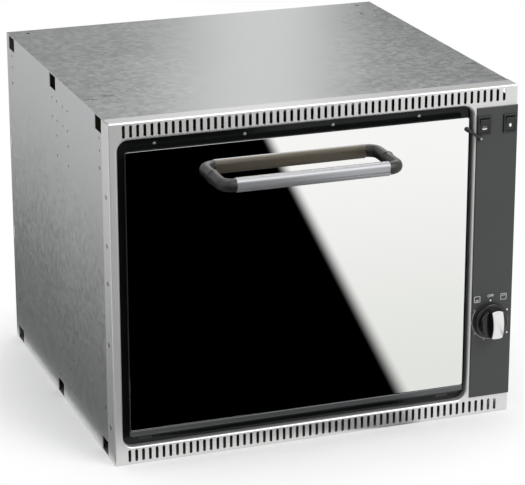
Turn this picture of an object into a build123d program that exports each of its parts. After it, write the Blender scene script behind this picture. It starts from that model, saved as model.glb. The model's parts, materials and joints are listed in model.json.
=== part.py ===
from build123d import *
import os

# Built-in gas oven with grill. Millimetres, +X right, +Y to the back, +Z up.
# The origin is the middle of the underside. Depths are counted from the front face of the fascia.

# Overall sizes, sheets and clearances
oven_width = 510.0
oven_height = 420.0
oven_depth = 465.0
fascia_sheet = 1.0
case_sheet = 0.8
slip = 0.3
flat_gap = 0.02
run_gap = 0.05
over = 1.0              # how far a cutting body reaches past what it cuts
front = -oven_depth / 2
half = oven_width / 2
case_half = half - fascia_sheet
case_in = case_half - case_sheet
case_top = oven_height - fascia_sheet

# Front fascia
side_return = 28.0
top_return = 21.0
base_return = 20.0
fascia_edge_radius = 2.0
opening_left_margin = 10.6
opening_right_margin = 57.6
opening_bottom = 22.0
opening_top_margin = 21.5
opening_radius = 13.0
opening_left = opening_left_margin - half
opening_right = half - opening_right_margin
opening_top = oven_height - opening_top_margin
lip_roll = 3.2
lip_round = 3.0
lip_depth = 8.7
vent_width = 3.6
vent_length = 15.4
vent_count = 57
vent_inset = 11.0
vent_margin = 18.12
vent_pitch = (oven_width - 2 * vent_margin) / (vent_count - 1)
rivet_depth = 14.0
rivet_radius = 1.6
rivet_head = 2.8
rivet_head_thick = 0.5
rivet_tail = 2.0
rivet_heights = [oven_height * share for share in (0.107, 0.355, 0.536, 0.645, 0.786)]

# Control panel
panel_width = 53.2
panel_bottom = 23.7
panel_top_margin = 24.8
panel_thick = 1.6
panel_edge = 0.5
panel_left = half - panel_width
panel_top = oven_height - panel_top_margin

# Knob and its spindle
knob_inset = 28.5
knob_z = 124.0
spindle_radius = 4.0
spindle_hole = 6.0
spindle_rear = 31.0
spindle_nose = 8.0
push_travel = 3.0
knob_air = 0.5
skirt_radius = 22.0
skirt_thick = 3.2
grip_radius = 18.5
grip_base_thick = 7.8
grip_base_round = 1.5
grip_rise = 10.5
grip_width = 15.0
grip_bulge = 5.0
grip_edge = 0.5
insert_thick = 1.0
insert_margin = 0.4
notch_width = 1.6
notch_length = 4.0
knob_x = half - knob_inset
skirt_back = -panel_thick - push_travel - knob_air
skirt_front = skirt_back - skirt_thick
grip_base_front = skirt_front - grip_base_thick
grip_front = grip_base_front - grip_rise
grip_arc = (grip_radius ** 2 + grip_bulge ** 2) / (2 * grip_bulge)
spindle_front = grip_front + spindle_nose

# Rocker switches
switch_right_inset = 10.4
switch_pitch = 33.7
switch_drop = 21.7
bezel_width = 17.6
bezel_height = 22.8
bezel_proud = 1.8
bezel_round = 0.6
bezel_lap = 1.0
housing_inset = 1.2
switch_body_depth = 22.0
rocker_width = 11.4
rocker_height = 16.4
rocker_proud = 2.6
rocker_dish = 0.9
rocker_depth = 10.0
rocker_tail = 6.0
rocker_tilt = 6.0
rocker_room = 0.4
rocker_swing_room = 0.5
rocker_pivot = 2.0
trunnion_radius = 1.2
trunnion_length = 1.6
switch_right_x = half - switch_right_inset
switch_left_x = switch_right_x - switch_pitch
switch_z = panel_top - switch_drop

# Door
door_side_gap = 7.4
door_top_gap = 12.1
door_bottom_gap = 15.0
glass_thick = 4.0
glass_proud = 4.5
glass_corner = 3.0
glass_edge = 0.8
trim_height = 7.0
trim_round = 1.2
pan_inset = 4.0
pan_depth = 6.0
pan_sheet = 1.2
pan_round = 2.0
window_margin = 56.0
window_corner = 12.0
inner_glass_thick = 3.0
inner_glass_lap = 8.0
hinge_rise = 1.0
hinge_depth = 4.5
barrel_radius = 4.0
hinge_pin_radius = 1.5
hinge_pin_length = 18.0
lug_width = 6.0
lug_radius = 3.6
lug_inset = 22.0
lug_air = 0.4
lug_foot = 8.0
lug_foot_side = 5.0
lug_foot_thick = 0.4
glass_left = opening_left + door_side_gap
glass_right = opening_right - door_side_gap
glass_top = opening_top - door_top_gap
glass_back = glass_thick - glass_proud
trim_bottom = opening_bottom + door_bottom_gap
glass_bottom = trim_bottom + trim_height + slip
hinge_z = trim_bottom + hinge_rise
pan_left = glass_left + pan_inset
pan_right = glass_right - pan_inset
pan_top = glass_top - pan_inset
pan_back = glass_back + pan_depth
lug_places = (glass_left + lug_inset, glass_right - lug_inset)

# Handle
handle_drop = 40.0
bar_side_room = 119.0
bar_height = 16.6
bar_deep = 14.0
bar_out = 42.3
bar_round = 5.8
ledge_place = 0.35
ledge_deep = 1.6
ledge_high = 1.4
leg_radius = 7.2
elbow_reach = 21.0
elbow_slack = 1.5
foot_flare = 1.2
foot_thick = 2.0
foot_round = 0.9
boss_radius = 6.0
handle_screw_radius = 2.2
handle_screw_depth = 16.0
handle_screw_head = 4.0
handle_screw_head_thick = 2.0
handle_x = (glass_left + glass_right) / 2
handle_z = glass_top - handle_drop
bar_length = glass_right - glass_left - 2 * bar_side_room
leg_x = bar_length / 2 + elbow_reach - leg_radius
handle_legs = (handle_x - leg_x, handle_x + leg_x)

# Travel latch, which turns over the edge of the glass
latch_offset = 7.0
latch_drop = 39.5
latch_pin_radius = 1.8
latch_pin_tail = 7.0
latch_arm = 20.4
latch_turned = 143.4
latch_air = 1.0
latch_thick = 3.2
latch_hub = 3.3
latch_tip = 2.9
latch_waist = 1.7
latch_collar = 1.2
latch_collar_thick = 2.0
latch_round = 0.9
latch_x = opening_right + latch_offset
latch_z = opening_top - latch_drop
latch_back = -glass_proud - latch_air
latch_front = latch_back - latch_thick

# Oven cavity
cavity_side = 30.9
cavity_floor = 48.0
cavity_ceiling = 48.5
cavity_rear_room = 94.8
liner_sheet = 1.0
surround_depth = 9.0
surround_sheet = 1.2
surround_lap = 6.0
surround_right_lap = 1.2
surround_low_lap = 4.0
surround_high_lap = 3.5
surround_corner = 4.0
mouth_radius = 12.0
gasket_thick = 3.2
gasket_width = 7.0
gasket_margin = 4.0
catch_inset = 45.0
catch_drop = 18.0
catch_radius = 5.0
wool_thick = 24.0
wool_right = 20.0
partition_gap = 3.4
surround_screw_drop = 8.3
surround_screw_left = 46.4
surround_screw_right = 66.9
surround_screw_count = 4
surround_screw_head = 2.0
surround_screw_thick = 1.2
surround_screw_length = 6.0
screw_radius = 1.6
cavity_left = opening_left + cavity_side
cavity_right = opening_right - cavity_side
cavity_bottom = opening_bottom + cavity_floor
cavity_top = opening_top - cavity_ceiling
cavity_x = (cavity_left + cavity_right) / 2
liner_front = surround_depth + surround_sheet
cavity_rear = oven_depth - cavity_rear_room
partition_x = opening_right - partition_gap
surround_screw_z = opening_top - surround_screw_drop
surround_screw_span = opening_right - surround_screw_right - opening_left - surround_screw_left
screw_heads_x = [opening_left + surround_screw_left + surround_screw_span * i / (surround_screw_count - 1)
                 for i in range(surround_screw_count)]

# Shelf runners, shelf and tray
runner_wire = 2.0
runner_levels = 5
runner_rise = 36.0
runner_top_room = 64.0
runner_front = 25.0
runner_rear_room = 25.2
runner_off = 6.0
runner_post = 45.0
runner_stub = 5.0
runner_end = 10.0
shelf_rod = 2.5
shelf_cross = 2.1
shelf_wire = 1.25
shelf_wire_lift = 1.3
shelf_wire_over = 0.8
shelf_over = 0.6
shelf_level = 3
shelf_front = 30.0
shelf_rear_room = 10.0
shelf_edge = 7.5
shelf_pitch = 20.0
tray_level = 1
tray_short = 5.0
tray_deep = 24.0
tray_sheet = 1.0
tray_rim = 9.0
tray_corner = 6.0
runner_first = cavity_bottom + runner_rise
runner_pitch = (cavity_top - runner_top_room - runner_first) / (runner_levels - 1)
runner_rear = cavity_rear - runner_rear_room
shelf_length = runner_rear - shelf_rear_room - shelf_front
tray_length = shelf_length - tray_short

# Oven burner and its cover
oven_burner_back = 40.2
oven_burner_rise = 22.0
oven_burner_radius = 8.0
burner_wall = 1.0
burner_side = 23.5
burner_foot = 8.0
jet_count = 26
jet_pitch = 11.0
jet_radius = 0.9
jet_first = 12.0
feed_tail = 6.0
flange_radius = 10.0
flange_thick = 1.5
cover_rise = 36.0
cover_deep = 76.0
cover_rear_room = 4.2
cover_left_room = 14.0
cover_right_room = 22.0
cover_sheet = 1.0
cover_slots = 8
cover_slot_margin = 28.0
cover_slot_length = 26.0
cover_slot_width = 6.0
cover_slot_rise = 16.0
oven_burner_depth = cavity_rear - oven_burner_back
oven_burner_z = cavity_bottom + oven_burner_rise
burner_left = cavity_left + burner_side
feed_end_x = partition_x + feed_tail
cover_z = cavity_bottom + cover_rise
cover_rear = cavity_rear - cover_rear_room
cover_front = cover_rear - cover_deep

# Grill burner, its reflector and its screen
grill_back = 9.8
grill_drop = 24.0
grill_side_room = 80.0
grill_shift = 3.5
grill_tube = 6.0
grill_half_depth = 60.0
grill_thick = 16.0
grill_corner = 10.0
grill_post = 3.0
grill_post_inset = 20.0
reflector_gap = 2.5
reflector_lap = 12.0
reflector_sheet = 0.8
screen_inset = 4.0
screen_thick = 1.2
screen_hole = 2.4
screen_columns = 19
screen_rows = 9
screen_column_margin = 11.5
screen_row_margin = 10.0
grill_depth = (liner_front + cavity_rear) / 2 + grill_back
grill_z = cavity_top - grill_drop
grill_x = cavity_x + grill_shift
grill_half_width = (cavity_right - cavity_left) / 2 - grill_side_room
reflector_z = grill_z + grill_thick / 2 + reflector_gap

# Probes through the right wall of the cavity
probe_radius = 2.5
probe_tip_radius = 0.8
probe_tip_length = 10.0
probe_reach = 34.0
probe_tail = 3.0
electrode_collar = 5.0
thermocouple_collar = 4.0
probe_collar_thick = 2.0
phial_back = 25.2
phial_drop = 32.0
phial_radius = 3.0
phial_length = 84.0
phial_side = 16.5
capillary_radius = 1.0
phial_depth = cavity_rear - phial_back
phial_z = cavity_top - phial_drop
probe_places = ((oven_burner_depth - 18.0, oven_burner_z + 4.0), (oven_burner_depth + 19.0, oven_burner_z + 4.0),
                (grill_depth - 35.0, grill_z), (grill_depth + 36.0, grill_z))

# Gas valve and pipes
pipe_radius = 3.0
inlet_radius = 4.0
inlet_inset = 28.0
inlet_z = 48.0
inlet_turn_depth = 55.0
inlet_tail = 10.0
inlet_sleeve = 6.0
nut_radius = 8.0
nut_thick = 4.0
stub_rear_gap = 2.0
valve_left_inset = 50.0
valve_right_inset = 5.0
valve_front = 20.0
valve_rear = 75.0
valve_half_height = 25.0
valve_chamfer = 4.0
valve_plate = 1.5
valve_plate_lap = 8.0
valve_post = 3.5
valve_post_inset = 6.0
rotor_radius = 7.0
rotor_front = 21.7
rotor_length = 14.0
rotor_floor = 1.0
oven_outlet_rise = 13.0
grill_outlet_drop = 10.0
outlet_inset = 10.0
inlet_x = half - inlet_inset
valve_left = half - valve_left_inset
valve_right = half - valve_right_inset
valve_bottom = knob_z - valve_half_height
valve_top = knob_z + valve_half_height

# Lamp
lamp_side = 63.5
lamp_drop = 50.0
lamp_hole = 17.0
lens_radius = 20.0
lens_thick = 4.0
lens_round = 2.5
lens_wall = 4.0
lens_skin = 1.5
lamp_can_depth = 32.0
lamp_can_wall = 2.0
socket_radius = 9.0
socket_length = 8.0
bulb_radius = 8.0
bulb_length = 14.0
lamp_x = cavity_left + lamp_side
lamp_z = cavity_top - lamp_drop

# Flue
flue_width = 170.0
flue_shift = 1.5
flue_drop = 7.0
flue_tall = 28.0
flue_front = 12.0
flue_hole_back = 14.2
flue_hole_deep = 26.0
flue_sheet = 0.8
flue_lug = 8.0
flue_lug_depth = 72.0
flue_lug_deep = 20.0
flue_left = cavity_x - flue_shift - flue_width / 2
flue_right = flue_left + flue_width
flue_high = case_top - flue_drop
flue_low = flue_high - flue_tall
flue_hole_rear = cavity_rear - flue_hole_back
flue_hole_front = flue_hole_rear - flue_hole_deep

# Casing
window_width = 26.0
window_top_gap = 1.0
window_height = 17.5
window_front = 30.0
window_rear_room = 38.0
window_middle_shift = 4.5
flange_drop = 18.0
rear_flange = 12.0
rear_flange_low = 90.0
rear_slot_heights = (139.0, 263.0)
rear_slot_tall = 17.0
rear_slot_far = 8.0
rear_slot_near = 1.5
back_inset = 3.0
fixing_front = 40.5
fixing_rear_room = 24.5
fixing_low = 59.5
fixing_top_room = 63.0
fixing_radius = 2.0
pierce_radius = 1.6
pierce_near = (176.0, 197.5, 224.0, 245.0)
pierce_wide = (176.5, 226.5)
pierce_low = (173.0, 195.0, 221.5, 243.0)
pierce_high_drops = (31.0, 55.5)
pierce_middle_drops = (75.0, 100.0)
pierce_middle_heights = (93.0, 68.0)
pierce_low_heights = (50.0, 26.0)
pierce_corner_drops = (42.0, 26.5)
recess_left_inset = 55.0
recess_right_inset = 5.0
recess_low = 22.0
recess_high = 76.0
recess_depth = 40.0
grommet_inset = 135.0
grommet_z = 60.0
grommet_hole = 6.0
grommet_bore = 4.0
grommet_rim = 2.0
screw_head = 3.4
screw_head_thick = 1.7
screw_length = 7.0
screw_slot_wide = 0.8
screw_slot_deep = 0.7
back_screw_inset = 6.0
back_screw_end = 10.0
louvre_length = 40.0
louvre_width = 4.0
louvre_drop = 72.0
louvre_pitch_x = 60.0
louvre_pitch_z = 12.0
louvre_rows = 5
tie_slot_length = 7.4
tie_slot_width = 2.4
tie_slots = ((7.5, 112.0), (16.5, 112.0), (32.5, 122.0), (41.0, 122.0))
top_holes = ((26.0, 15.0, 3.0), (38.0, 61.5, 2.0), (13.5, 51.5, 2.0))
module_depths = (100.0, 160.0)
module_heights = (215.0, 262.0)
module_thick = 34.0
module_post = 4.0
module_post_length = 8.0
window_high = case_top - window_top_gap
window_low = window_high - window_height
window_depths = (window_front, oven_depth / 2 - window_middle_shift, oven_depth - window_rear_room)
back_plate = oven_depth - back_inset - case_sheet
fixing_rear = oven_depth - fixing_rear_room
fixing_high = oven_height - fixing_top_room
recess_left = half - recess_left_inset
recess_right = half - recess_right_inset
recess_wall = oven_depth - recess_depth
grommet_x = half - grommet_inset


def block(x0, x1, d0, d1, z0, z1):
    """A box between two widths, two depths from the front and two heights."""
    place = Pos((x0 + x1) / 2, front + (d0 + d1) / 2, (z0 + z1) / 2)
    return place * Box(x1 - x0, d1 - d0, z1 - z0)


def rod_y(x, z, d0, d1, radius):
    """A round bar that runs front to back."""
    return Pos(x, front + (d0 + d1) / 2, z) * Rot(90, 0, 0) * Cylinder(radius, d1 - d0)


def rod_x(x0, x1, d, z, radius):
    """A round bar that runs left to right."""
    return Pos((x0 + x1) / 2, front + d, z) * Rot(0, 90, 0) * Cylinder(radius, x1 - x0)


def rod_z(x, d, z0, z1, radius):
    """A round bar that stands up."""
    return Pos(x, front + d, (z0 + z1) / 2) * Cylinder(radius, z1 - z0)


def face_plate(sketch, d0, d1):
    """A sketch drawn on the front view, made solid between two depths."""
    plane = Plane((0, front + d1, 0), x_dir=(1, 0, 0), z_dir=(0, -1, 0))
    return extrude(plane * sketch, amount=d1 - d0)


def rounded(x0, x1, z0, z1, radius):
    """A rounded rectangle on the front view."""
    return Pos((x0 + x1) / 2, (z0 + z1) / 2) * RectangleRounded(x1 - x0, z1 - z0, radius)


def pipe(points, radius, bend):
    """A round pipe through points given as x, depth, z."""
    path = FilletPolyline(*[(x, front + d, z) for x, d, z in points], radius=bend)
    section = Plane(origin=path @ 0, z_dir=path % 0) * Circle(radius)
    return sweep(section, path=path)


def front_edges(part):
    """The edges round the face nearest the front."""
    return part.faces().sort_by(Axis.Y)[0].edges()


def vent_slots(z):
    """One row of upright vent slots across the fascia."""
    first = -(vent_count - 1) / 2 * vent_pitch
    slot = SlotOverall(vent_length, vent_width, rotation=90)
    return Sketch() + [Pos(first + i * vent_pitch, z) * slot for i in range(vent_count)]


def switch_windows(body):
    """Cuts the two windows that the switch housings pass through."""
    for x in (switch_left_x, switch_right_x):
        wide = bezel_width / 2 - bezel_lap
        tall = bezel_height / 2 - bezel_lap
        body -= block(x - wide, x + wide, -panel_thick - over, fascia_sheet + over, switch_z - tall, switch_z + tall)
    return body


def control_bores(body):
    """Cuts the holes for the knob's spindle and the latch's pin."""
    body -= rod_y(knob_x, knob_z, -panel_thick - over, fascia_sheet + over, spindle_hole)
    return body - rod_y(latch_x, latch_z, -panel_thick - over, fascia_sheet + over, latch_pin_radius + run_gap)


def grown(margin):
    """The fascia's opening, larger by a margin all round."""
    return rounded(opening_left - margin, opening_right + margin, opening_bottom - margin, opening_top + margin,
                   opening_radius + margin)


def front_fascia():
    tray = block(-half, half, 0, side_return, 0, oven_height)
    edges = front_edges(tray) + tray.edges().filter_by(Axis.Y)
    tray = fillet(edges, fascia_edge_radius)
    rear = side_return + over
    tray -= block(-case_half, case_half, fascia_sheet, rear, fascia_sheet, case_top)
    tray -= block(-case_half, case_half, top_return, rear, case_top - over, oven_height + over)
    tray -= block(-case_half, case_half, base_return, rear, -over, fascia_sheet + over)
    rim = face_plate(grown(lip_roll) - grown(0), 0, lip_roll)
    inner_edges = rim.faces().sort_by(Axis.Y)[0].inner_wires()[0].edges()
    rim = fillet(inner_edges, lip_round)
    tray -= face_plate(grown(lip_roll), -over, fascia_sheet + over)
    tray += rim
    tray += face_plate(grown(fascia_sheet) - grown(0), lip_round, lip_depth)
    slots = vent_slots(oven_height - vent_inset) + vent_slots(vent_inset)
    tray -= face_plate(slots, -over, fascia_sheet + over)
    for side in (-1, 1):
        for z in rivet_heights:
            tray -= rod_x(side * half - over, side * half + over, rivet_depth, z, rivet_radius + flat_gap)
    return control_bores(switch_windows(tray))


def fascia_rivets():
    rivets = Part()
    for side in (-1, 1):
        tail, skin, outer = (side * (case_in - rivet_tail), side * half, side * (half + rivet_head_thick))
        for z in rivet_heights:
            rivets += rod_x(min(tail, skin), max(tail, skin), rivet_depth, z, rivet_radius)
            rivets += rod_x(min(skin, outer), max(skin, outer), rivet_depth, z, rivet_head)
    return rivets


def control_panel():
    panel = block(panel_left, half, -panel_thick, 0, panel_bottom, panel_top)
    panel = fillet(front_edges(panel), panel_edge)
    return control_bores(switch_windows(panel))


def switch_housing(x):
    low = switch_z - bezel_height / 2
    high = switch_z + bezel_height / 2
    wide = bezel_width / 2
    bezel_front = -panel_thick - bezel_proud
    bezel = block(x - wide, x + wide, bezel_front, -panel_thick, low, high)
    bezel = fillet(front_edges(bezel) + bezel.edges().filter_by(Axis.Y), bezel_round)
    body = block(x - wide + housing_inset, x + wide - housing_inset, -panel_thick, switch_body_depth,
                 low + housing_inset, high - housing_inset)
    room_x = rocker_width / 2 + rocker_room
    room_z = rocker_height / 2 + rocker_room + rocker_swing_room
    housing = bezel + body
    housing -= block(x - room_x, x + room_x, bezel_front - over, rocker_depth, switch_z - room_z, switch_z + room_z)
    trunnion = rocker_width / 2 + trunnion_length + slip
    return housing - rod_x(x - trunnion, x + trunnion, rocker_pivot, switch_z, trunnion_radius + run_gap)


def rocker(x):
    """A rocker with a dished face, drawn from the side and tilted as it rests."""
    tall = rocker_height / 2
    face = -panel_thick - rocker_proud
    outline = [(face, -tall), (face + rocker_dish, 0), (face, tall), (rocker_tail, tall), (rocker_tail, -tall)]
    side_view = Plane((0, front, 0), x_dir=(0, 1, 0), z_dir=(1, 0, 0))
    profile = side_view * Polygon(*[(d, z + switch_z) for d, z in outline], align=None)
    body = Pos(x, 0, 0) * extrude(profile, amount=rocker_width / 2, both=True)
    body = fillet(body.edges().filter_by(Axis.X).sort_by(Axis.Y)[:2], grip_edge)
    reach = rocker_width / 2 + trunnion_length
    body += rod_x(x - reach, x + reach, rocker_pivot, switch_z, trunnion_radius)
    pivot = Pos(0, front + rocker_pivot, switch_z)
    return pivot * Rot(rocker_tilt, 0, 0) * pivot.inverse() * body


def grip_solid(radius, width, proud):
    """A bar across the knob with round ends and a front that bulges in the middle."""
    bar = rod_y(knob_x, knob_z, grip_front - proud, skirt_front, radius)
    bar &= block(knob_x - width / 2, knob_x + width / 2, grip_front - proud, skirt_front,
                 knob_z - radius, knob_z + radius)
    return bar & rod_x(knob_x - width, knob_x + width, grip_front + grip_arc, knob_z, grip_arc + proud)


def knob_body():
    skirt = rod_y(knob_x, knob_z, skirt_front, skirt_back, skirt_radius)
    skirt = fillet(front_edges(skirt), skirt_thick * 0.6)
    base = rod_y(knob_x, knob_z, grip_base_front, skirt_front, grip_radius)
    base = fillet(front_edges(base), grip_base_round)
    knob = skirt + base + grip_solid(grip_radius, grip_width, 0)
    return knob - rod_y(knob_x, knob_z, spindle_front, skirt_back + over, spindle_radius + flat_gap)


def knob_insert():
    """The bright plate that follows the grip's bulging front."""
    radius = grip_radius - insert_margin
    plate = grip_solid(radius, grip_width - 2 * insert_margin, insert_thick)
    plate -= rod_x(knob_x - grip_width, knob_x + grip_width, grip_front + grip_arc, knob_z, grip_arc)
    notch = block(knob_x - notch_width / 2, knob_x + notch_width / 2, grip_front - 2 * insert_thick,
                  grip_front + grip_bulge, knob_z + grip_radius - notch_length, knob_z + grip_radius)
    notch -= rod_x(knob_x - grip_width, knob_x + grip_width, grip_front + grip_arc, knob_z,
                   grip_arc + insert_thick / 2)
    return plate - notch


def knob_spindle():
    return rod_y(knob_x, knob_z, spindle_front + slip, spindle_rear, spindle_radius)


def valve_rotor():
    rear = rotor_front + rotor_length
    rotor = rod_y(knob_x, knob_z, rotor_front, rear, rotor_radius)
    return rotor - rod_y(knob_x, knob_z, rotor_front - over, rear - rotor_floor, spindle_radius + run_gap)


def gas_valve():
    plate_back = fascia_sheet + valve_plate
    body = block(valve_left, valve_right, valve_front, valve_rear, valve_bottom, valve_top)
    body = chamfer(body.edges().filter_by(Axis.Y), valve_chamfer)
    body += block(valve_left, valve_right - fascia_sheet, fascia_sheet, plate_back,
                  valve_bottom - valve_plate_lap, valve_top + valve_plate_lap)
    for x in (valve_left + valve_post_inset, valve_right - valve_post_inset):
        for z in (valve_bottom + valve_post_inset, valve_top - valve_post_inset):
            body += rod_y(x, z, plate_back, valve_front, valve_post)
    body -= rod_y(knob_x, knob_z, 0, valve_front, spindle_hole)
    return body - rod_y(knob_x, knob_z, valve_front - over, rotor_front + rotor_length + slip, rotor_radius + run_gap)


def door_surround():
    plate = rounded(opening_left - surround_lap, opening_right + surround_right_lap,
                    opening_bottom - surround_low_lap, opening_top + surround_high_lap, surround_corner)
    mouth = rounded(cavity_left, cavity_right, cavity_bottom, cavity_top, mouth_radius)
    surround = face_plate(plate - mouth, surround_depth, liner_front)
    for x in screw_heads_x:
        surround -= rod_y(x, surround_screw_z, surround_depth - over, liner_front + over, screw_radius + flat_gap)
    return surround


def pan_head(x, z, seat, head, head_thick, shank, length):
    """A slotted pan-head screw whose head lies in front of its seat."""
    top = rod_y(x, z, seat - head_thick, seat, head)
    top = fillet(front_edges(top), head_thick * 0.5)
    top -= block(x - head, x + head, seat - head_thick - over, seat - head_thick + screw_slot_deep,
                 z - screw_slot_wide / 2, z + screw_slot_wide / 2)
    return top + rod_y(x, z, seat, seat + length, shank)


def surround_screws():
    screws = Part()
    for x in screw_heads_x:
        screws += pan_head(x, surround_screw_z, surround_depth, surround_screw_head, surround_screw_thick,
                           screw_radius, surround_screw_length)
    return screws


def liner_holes(part):
    """The feeds and probes pass through whatever stands on the right of the cavity."""
    low = cavity_right - over
    high = partition_x + case_sheet + over
    part -= rod_x(low, high, oven_burner_depth, oven_burner_z, oven_burner_radius + slip)
    part -= rod_x(low, high, grill_depth, grill_z, grill_tube + slip)
    part -= rod_x(low, high, phial_depth, phial_z, capillary_radius + slip)
    for d, z in probe_places:
        part -= rod_x(low, high, d, z, probe_radius + slip)
    return part


def oven_liner():
    t = liner_sheet
    mouth = rounded(cavity_left, cavity_right, cavity_bottom, cavity_top, mouth_radius)
    skin = rounded(cavity_left - t, cavity_right + t, cavity_bottom - t, cavity_top + t, mouth_radius + t)
    liner = face_plate(skin, liner_front, cavity_rear + t) - face_plate(mouth, liner_front - 1, cavity_rear)
    liner = liner_holes(liner)
    liner -= rod_y(lamp_x, lamp_z, cavity_rear - over, cavity_rear + t + over, lamp_hole)
    return liner - block(flue_left, flue_right, flue_hole_front, flue_hole_rear, cavity_top - over,
                         cavity_top + t + over)


def insulation_jacket():
    gap = liner_sheet + slip
    body = block(cavity_left - gap - wool_thick, cavity_right + gap + wool_right, liner_front + slip,
                 cavity_rear + gap + wool_thick, cavity_bottom - gap - wool_thick, cavity_top + gap + wool_thick)
    body -= block(cavity_left - gap, cavity_right + gap, liner_front - 1, cavity_rear + gap,
                  cavity_bottom - gap, cavity_top + gap)
    body = liner_holes(body)
    body -= rod_y(lamp_x, lamp_z, cavity_rear, cavity_rear + 60, lamp_hole + 2)
    d = flue_sheet + slip
    return body - block(flue_left - d, flue_right + d, flue_hole_front - d, flue_hole_rear + d,
                        cavity_top, cavity_top + 60)


def door_gasket():
    m = gasket_margin
    w = gasket_width
    outer = rounded(cavity_left - m - w, cavity_right + m + w, cavity_bottom - m - w, cavity_top + m + w,
                    mouth_radius + m + w)
    inner = rounded(cavity_left - m, cavity_right + m, cavity_bottom - m, cavity_top + m, mouth_radius + m)
    ring = face_plate(outer - inner, surround_depth - gasket_thick, surround_depth)
    return fillet(front_edges(ring), gasket_thick * 0.4)


def door_catches():
    catches = Part()
    for x in (glass_left + catch_inset, glass_right - catch_inset):
        dome = rod_y(x, glass_top - catch_drop, surround_depth - gasket_thick, surround_depth, catch_radius)
        catches += fillet(front_edges(dome), gasket_thick * 0.55)
    return catches


def hinge_lugs():
    lugs = Part()
    for x in lug_places:
        body = rod_x(x - lug_width / 2, x + lug_width / 2, hinge_depth, hinge_z, lug_radius)
        body += block(x - lug_width / 2, x + lug_width / 2, hinge_depth, surround_depth,
                      hinge_z - lug_radius, hinge_z + lug_radius)
        side = lug_width / 2 + lug_foot_side
        body += block(x - side, x + side, surround_depth - lug_foot_thick, surround_depth,
                      hinge_z - lug_radius - lug_foot, hinge_z - lug_radius)
        lugs += body - rod_x(x - lug_width, x + lug_width, hinge_depth, hinge_z, hinge_pin_radius + run_gap)
    return lugs


def hinge_pins():
    pins = Part()
    for x in lug_places:
        pins += rod_x(x - hinge_pin_length / 2, x + hinge_pin_length / 2, hinge_depth, hinge_z, hinge_pin_radius)
    return pins


def door_glass():
    plate = rounded(glass_left, glass_right, glass_bottom, glass_top, glass_corner)
    glass = face_plate(plate, -glass_proud, glass_back)
    glass = fillet(front_edges(glass), glass_edge)
    for x in handle_legs:
        glass -= rod_y(x, handle_z, -glass_proud - over, glass_back + over, handle_screw_radius + slip)
    return glass


def door_frame():
    pan = block(pan_left, pan_right, glass_back, pan_back, glass_bottom, pan_top)
    pan = fillet(pan.edges().filter_by(Axis.Y) + pan.faces().sort_by(Axis.Y)[-1].edges(), pan_round)
    pan -= block(pan_left + pan_sheet, pan_right - pan_sheet, glass_back - over, pan_back - pan_sheet,
                 glass_bottom + pan_sheet, pan_top - pan_sheet)
    window = rounded(pan_left + window_margin, pan_right - window_margin, glass_bottom + window_margin,
                     pan_top - window_margin, window_corner)
    pan -= face_plate(window, pan_back - pan_sheet - over, pan_back + over)
    for x in handle_legs:
        pan += rod_y(x, handle_z, glass_back, pan_back - pan_sheet, boss_radius)
        pan -= rod_y(x, handle_z, glass_back - over, pan_back + over, handle_screw_radius + slip)
    rail = rod_x(pan_left, pan_right, hinge_depth, hinge_z, barrel_radius)
    rail += block(pan_left, pan_right, glass_back, hinge_depth + barrel_radius, hinge_z, glass_bottom)
    rail += block(pan_left, pan_right, glass_back, hinge_depth, hinge_z - barrel_radius, glass_bottom)
    room = lug_radius + lug_air
    for x in lug_places:
        rail -= block(x - lug_width / 2 - slip, x + lug_width / 2 + slip, hinge_depth - room,
                      hinge_depth + barrel_radius + over, hinge_z - barrel_radius - over, hinge_z + room)
        rail -= rod_x(x - hinge_pin_length / 2 - slip, x + hinge_pin_length / 2 + slip, hinge_depth, hinge_z,
                      hinge_pin_radius + flat_gap)
    return pan + rail


def inner_glass():
    lap = window_margin - inner_glass_lap
    rear = pan_back - pan_sheet
    plate = rounded(pan_left + lap, pan_right - lap, glass_bottom + lap, pan_top - lap, window_corner)
    return face_plate(plate, rear - inner_glass_thick, rear)


def door_lower_trim():
    trim = block(glass_left, glass_right, -glass_proud, glass_back, trim_bottom, trim_bottom + trim_height)
    return fillet(front_edges(trim), trim_round)


def bar_outline():
    """The handle bar's section: rounded, with a shallow ledge along its lower third."""
    ledge = Pos(-bar_deep / 2, -bar_height / 2 * ledge_place) * Rectangle(ledge_deep, ledge_high)
    return RectangleRounded(bar_deep, bar_height, bar_round) - ledge


def handle_bar():
    plane = Plane((handle_x - bar_length / 2, front - bar_out, handle_z), x_dir=(0, 1, 0), z_dir=(1, 0, 0))
    return extrude(plane * bar_outline(), amount=bar_length)


def handle_end(side):
    """One elbow from the bar's end back to the glass."""
    leg = handle_x + side * leg_x
    start = (handle_x + side * bar_length / 2, front - bar_out, handle_z)
    corner = (leg, front - bar_out, handle_z)
    end = (leg, front - glass_proud, handle_z)
    path = FilletPolyline(start, corner, end, radius=elbow_reach - leg_radius - elbow_slack)
    elbow = sweep(Plane(origin=start, z_dir=(side, 0, 0)) * Circle(leg_radius), path=path)
    foot = rod_y(leg, handle_z, -glass_proud - foot_thick, -glass_proud, leg_radius + foot_flare)
    elbow += fillet(front_edges(foot), foot_round)
    screw_front = pan_back - handle_screw_depth
    return elbow - rod_y(leg, handle_z, screw_front - slip, 0, handle_screw_radius + flat_gap)


def handle_screws():
    screws = Part()
    for x in handle_legs:
        screws += rod_y(x, handle_z, pan_back - handle_screw_depth, pan_back, handle_screw_radius)
        screws += rod_y(x, handle_z, pan_back, pan_back + handle_screw_head_thick, handle_screw_head)
    return screws


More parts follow.
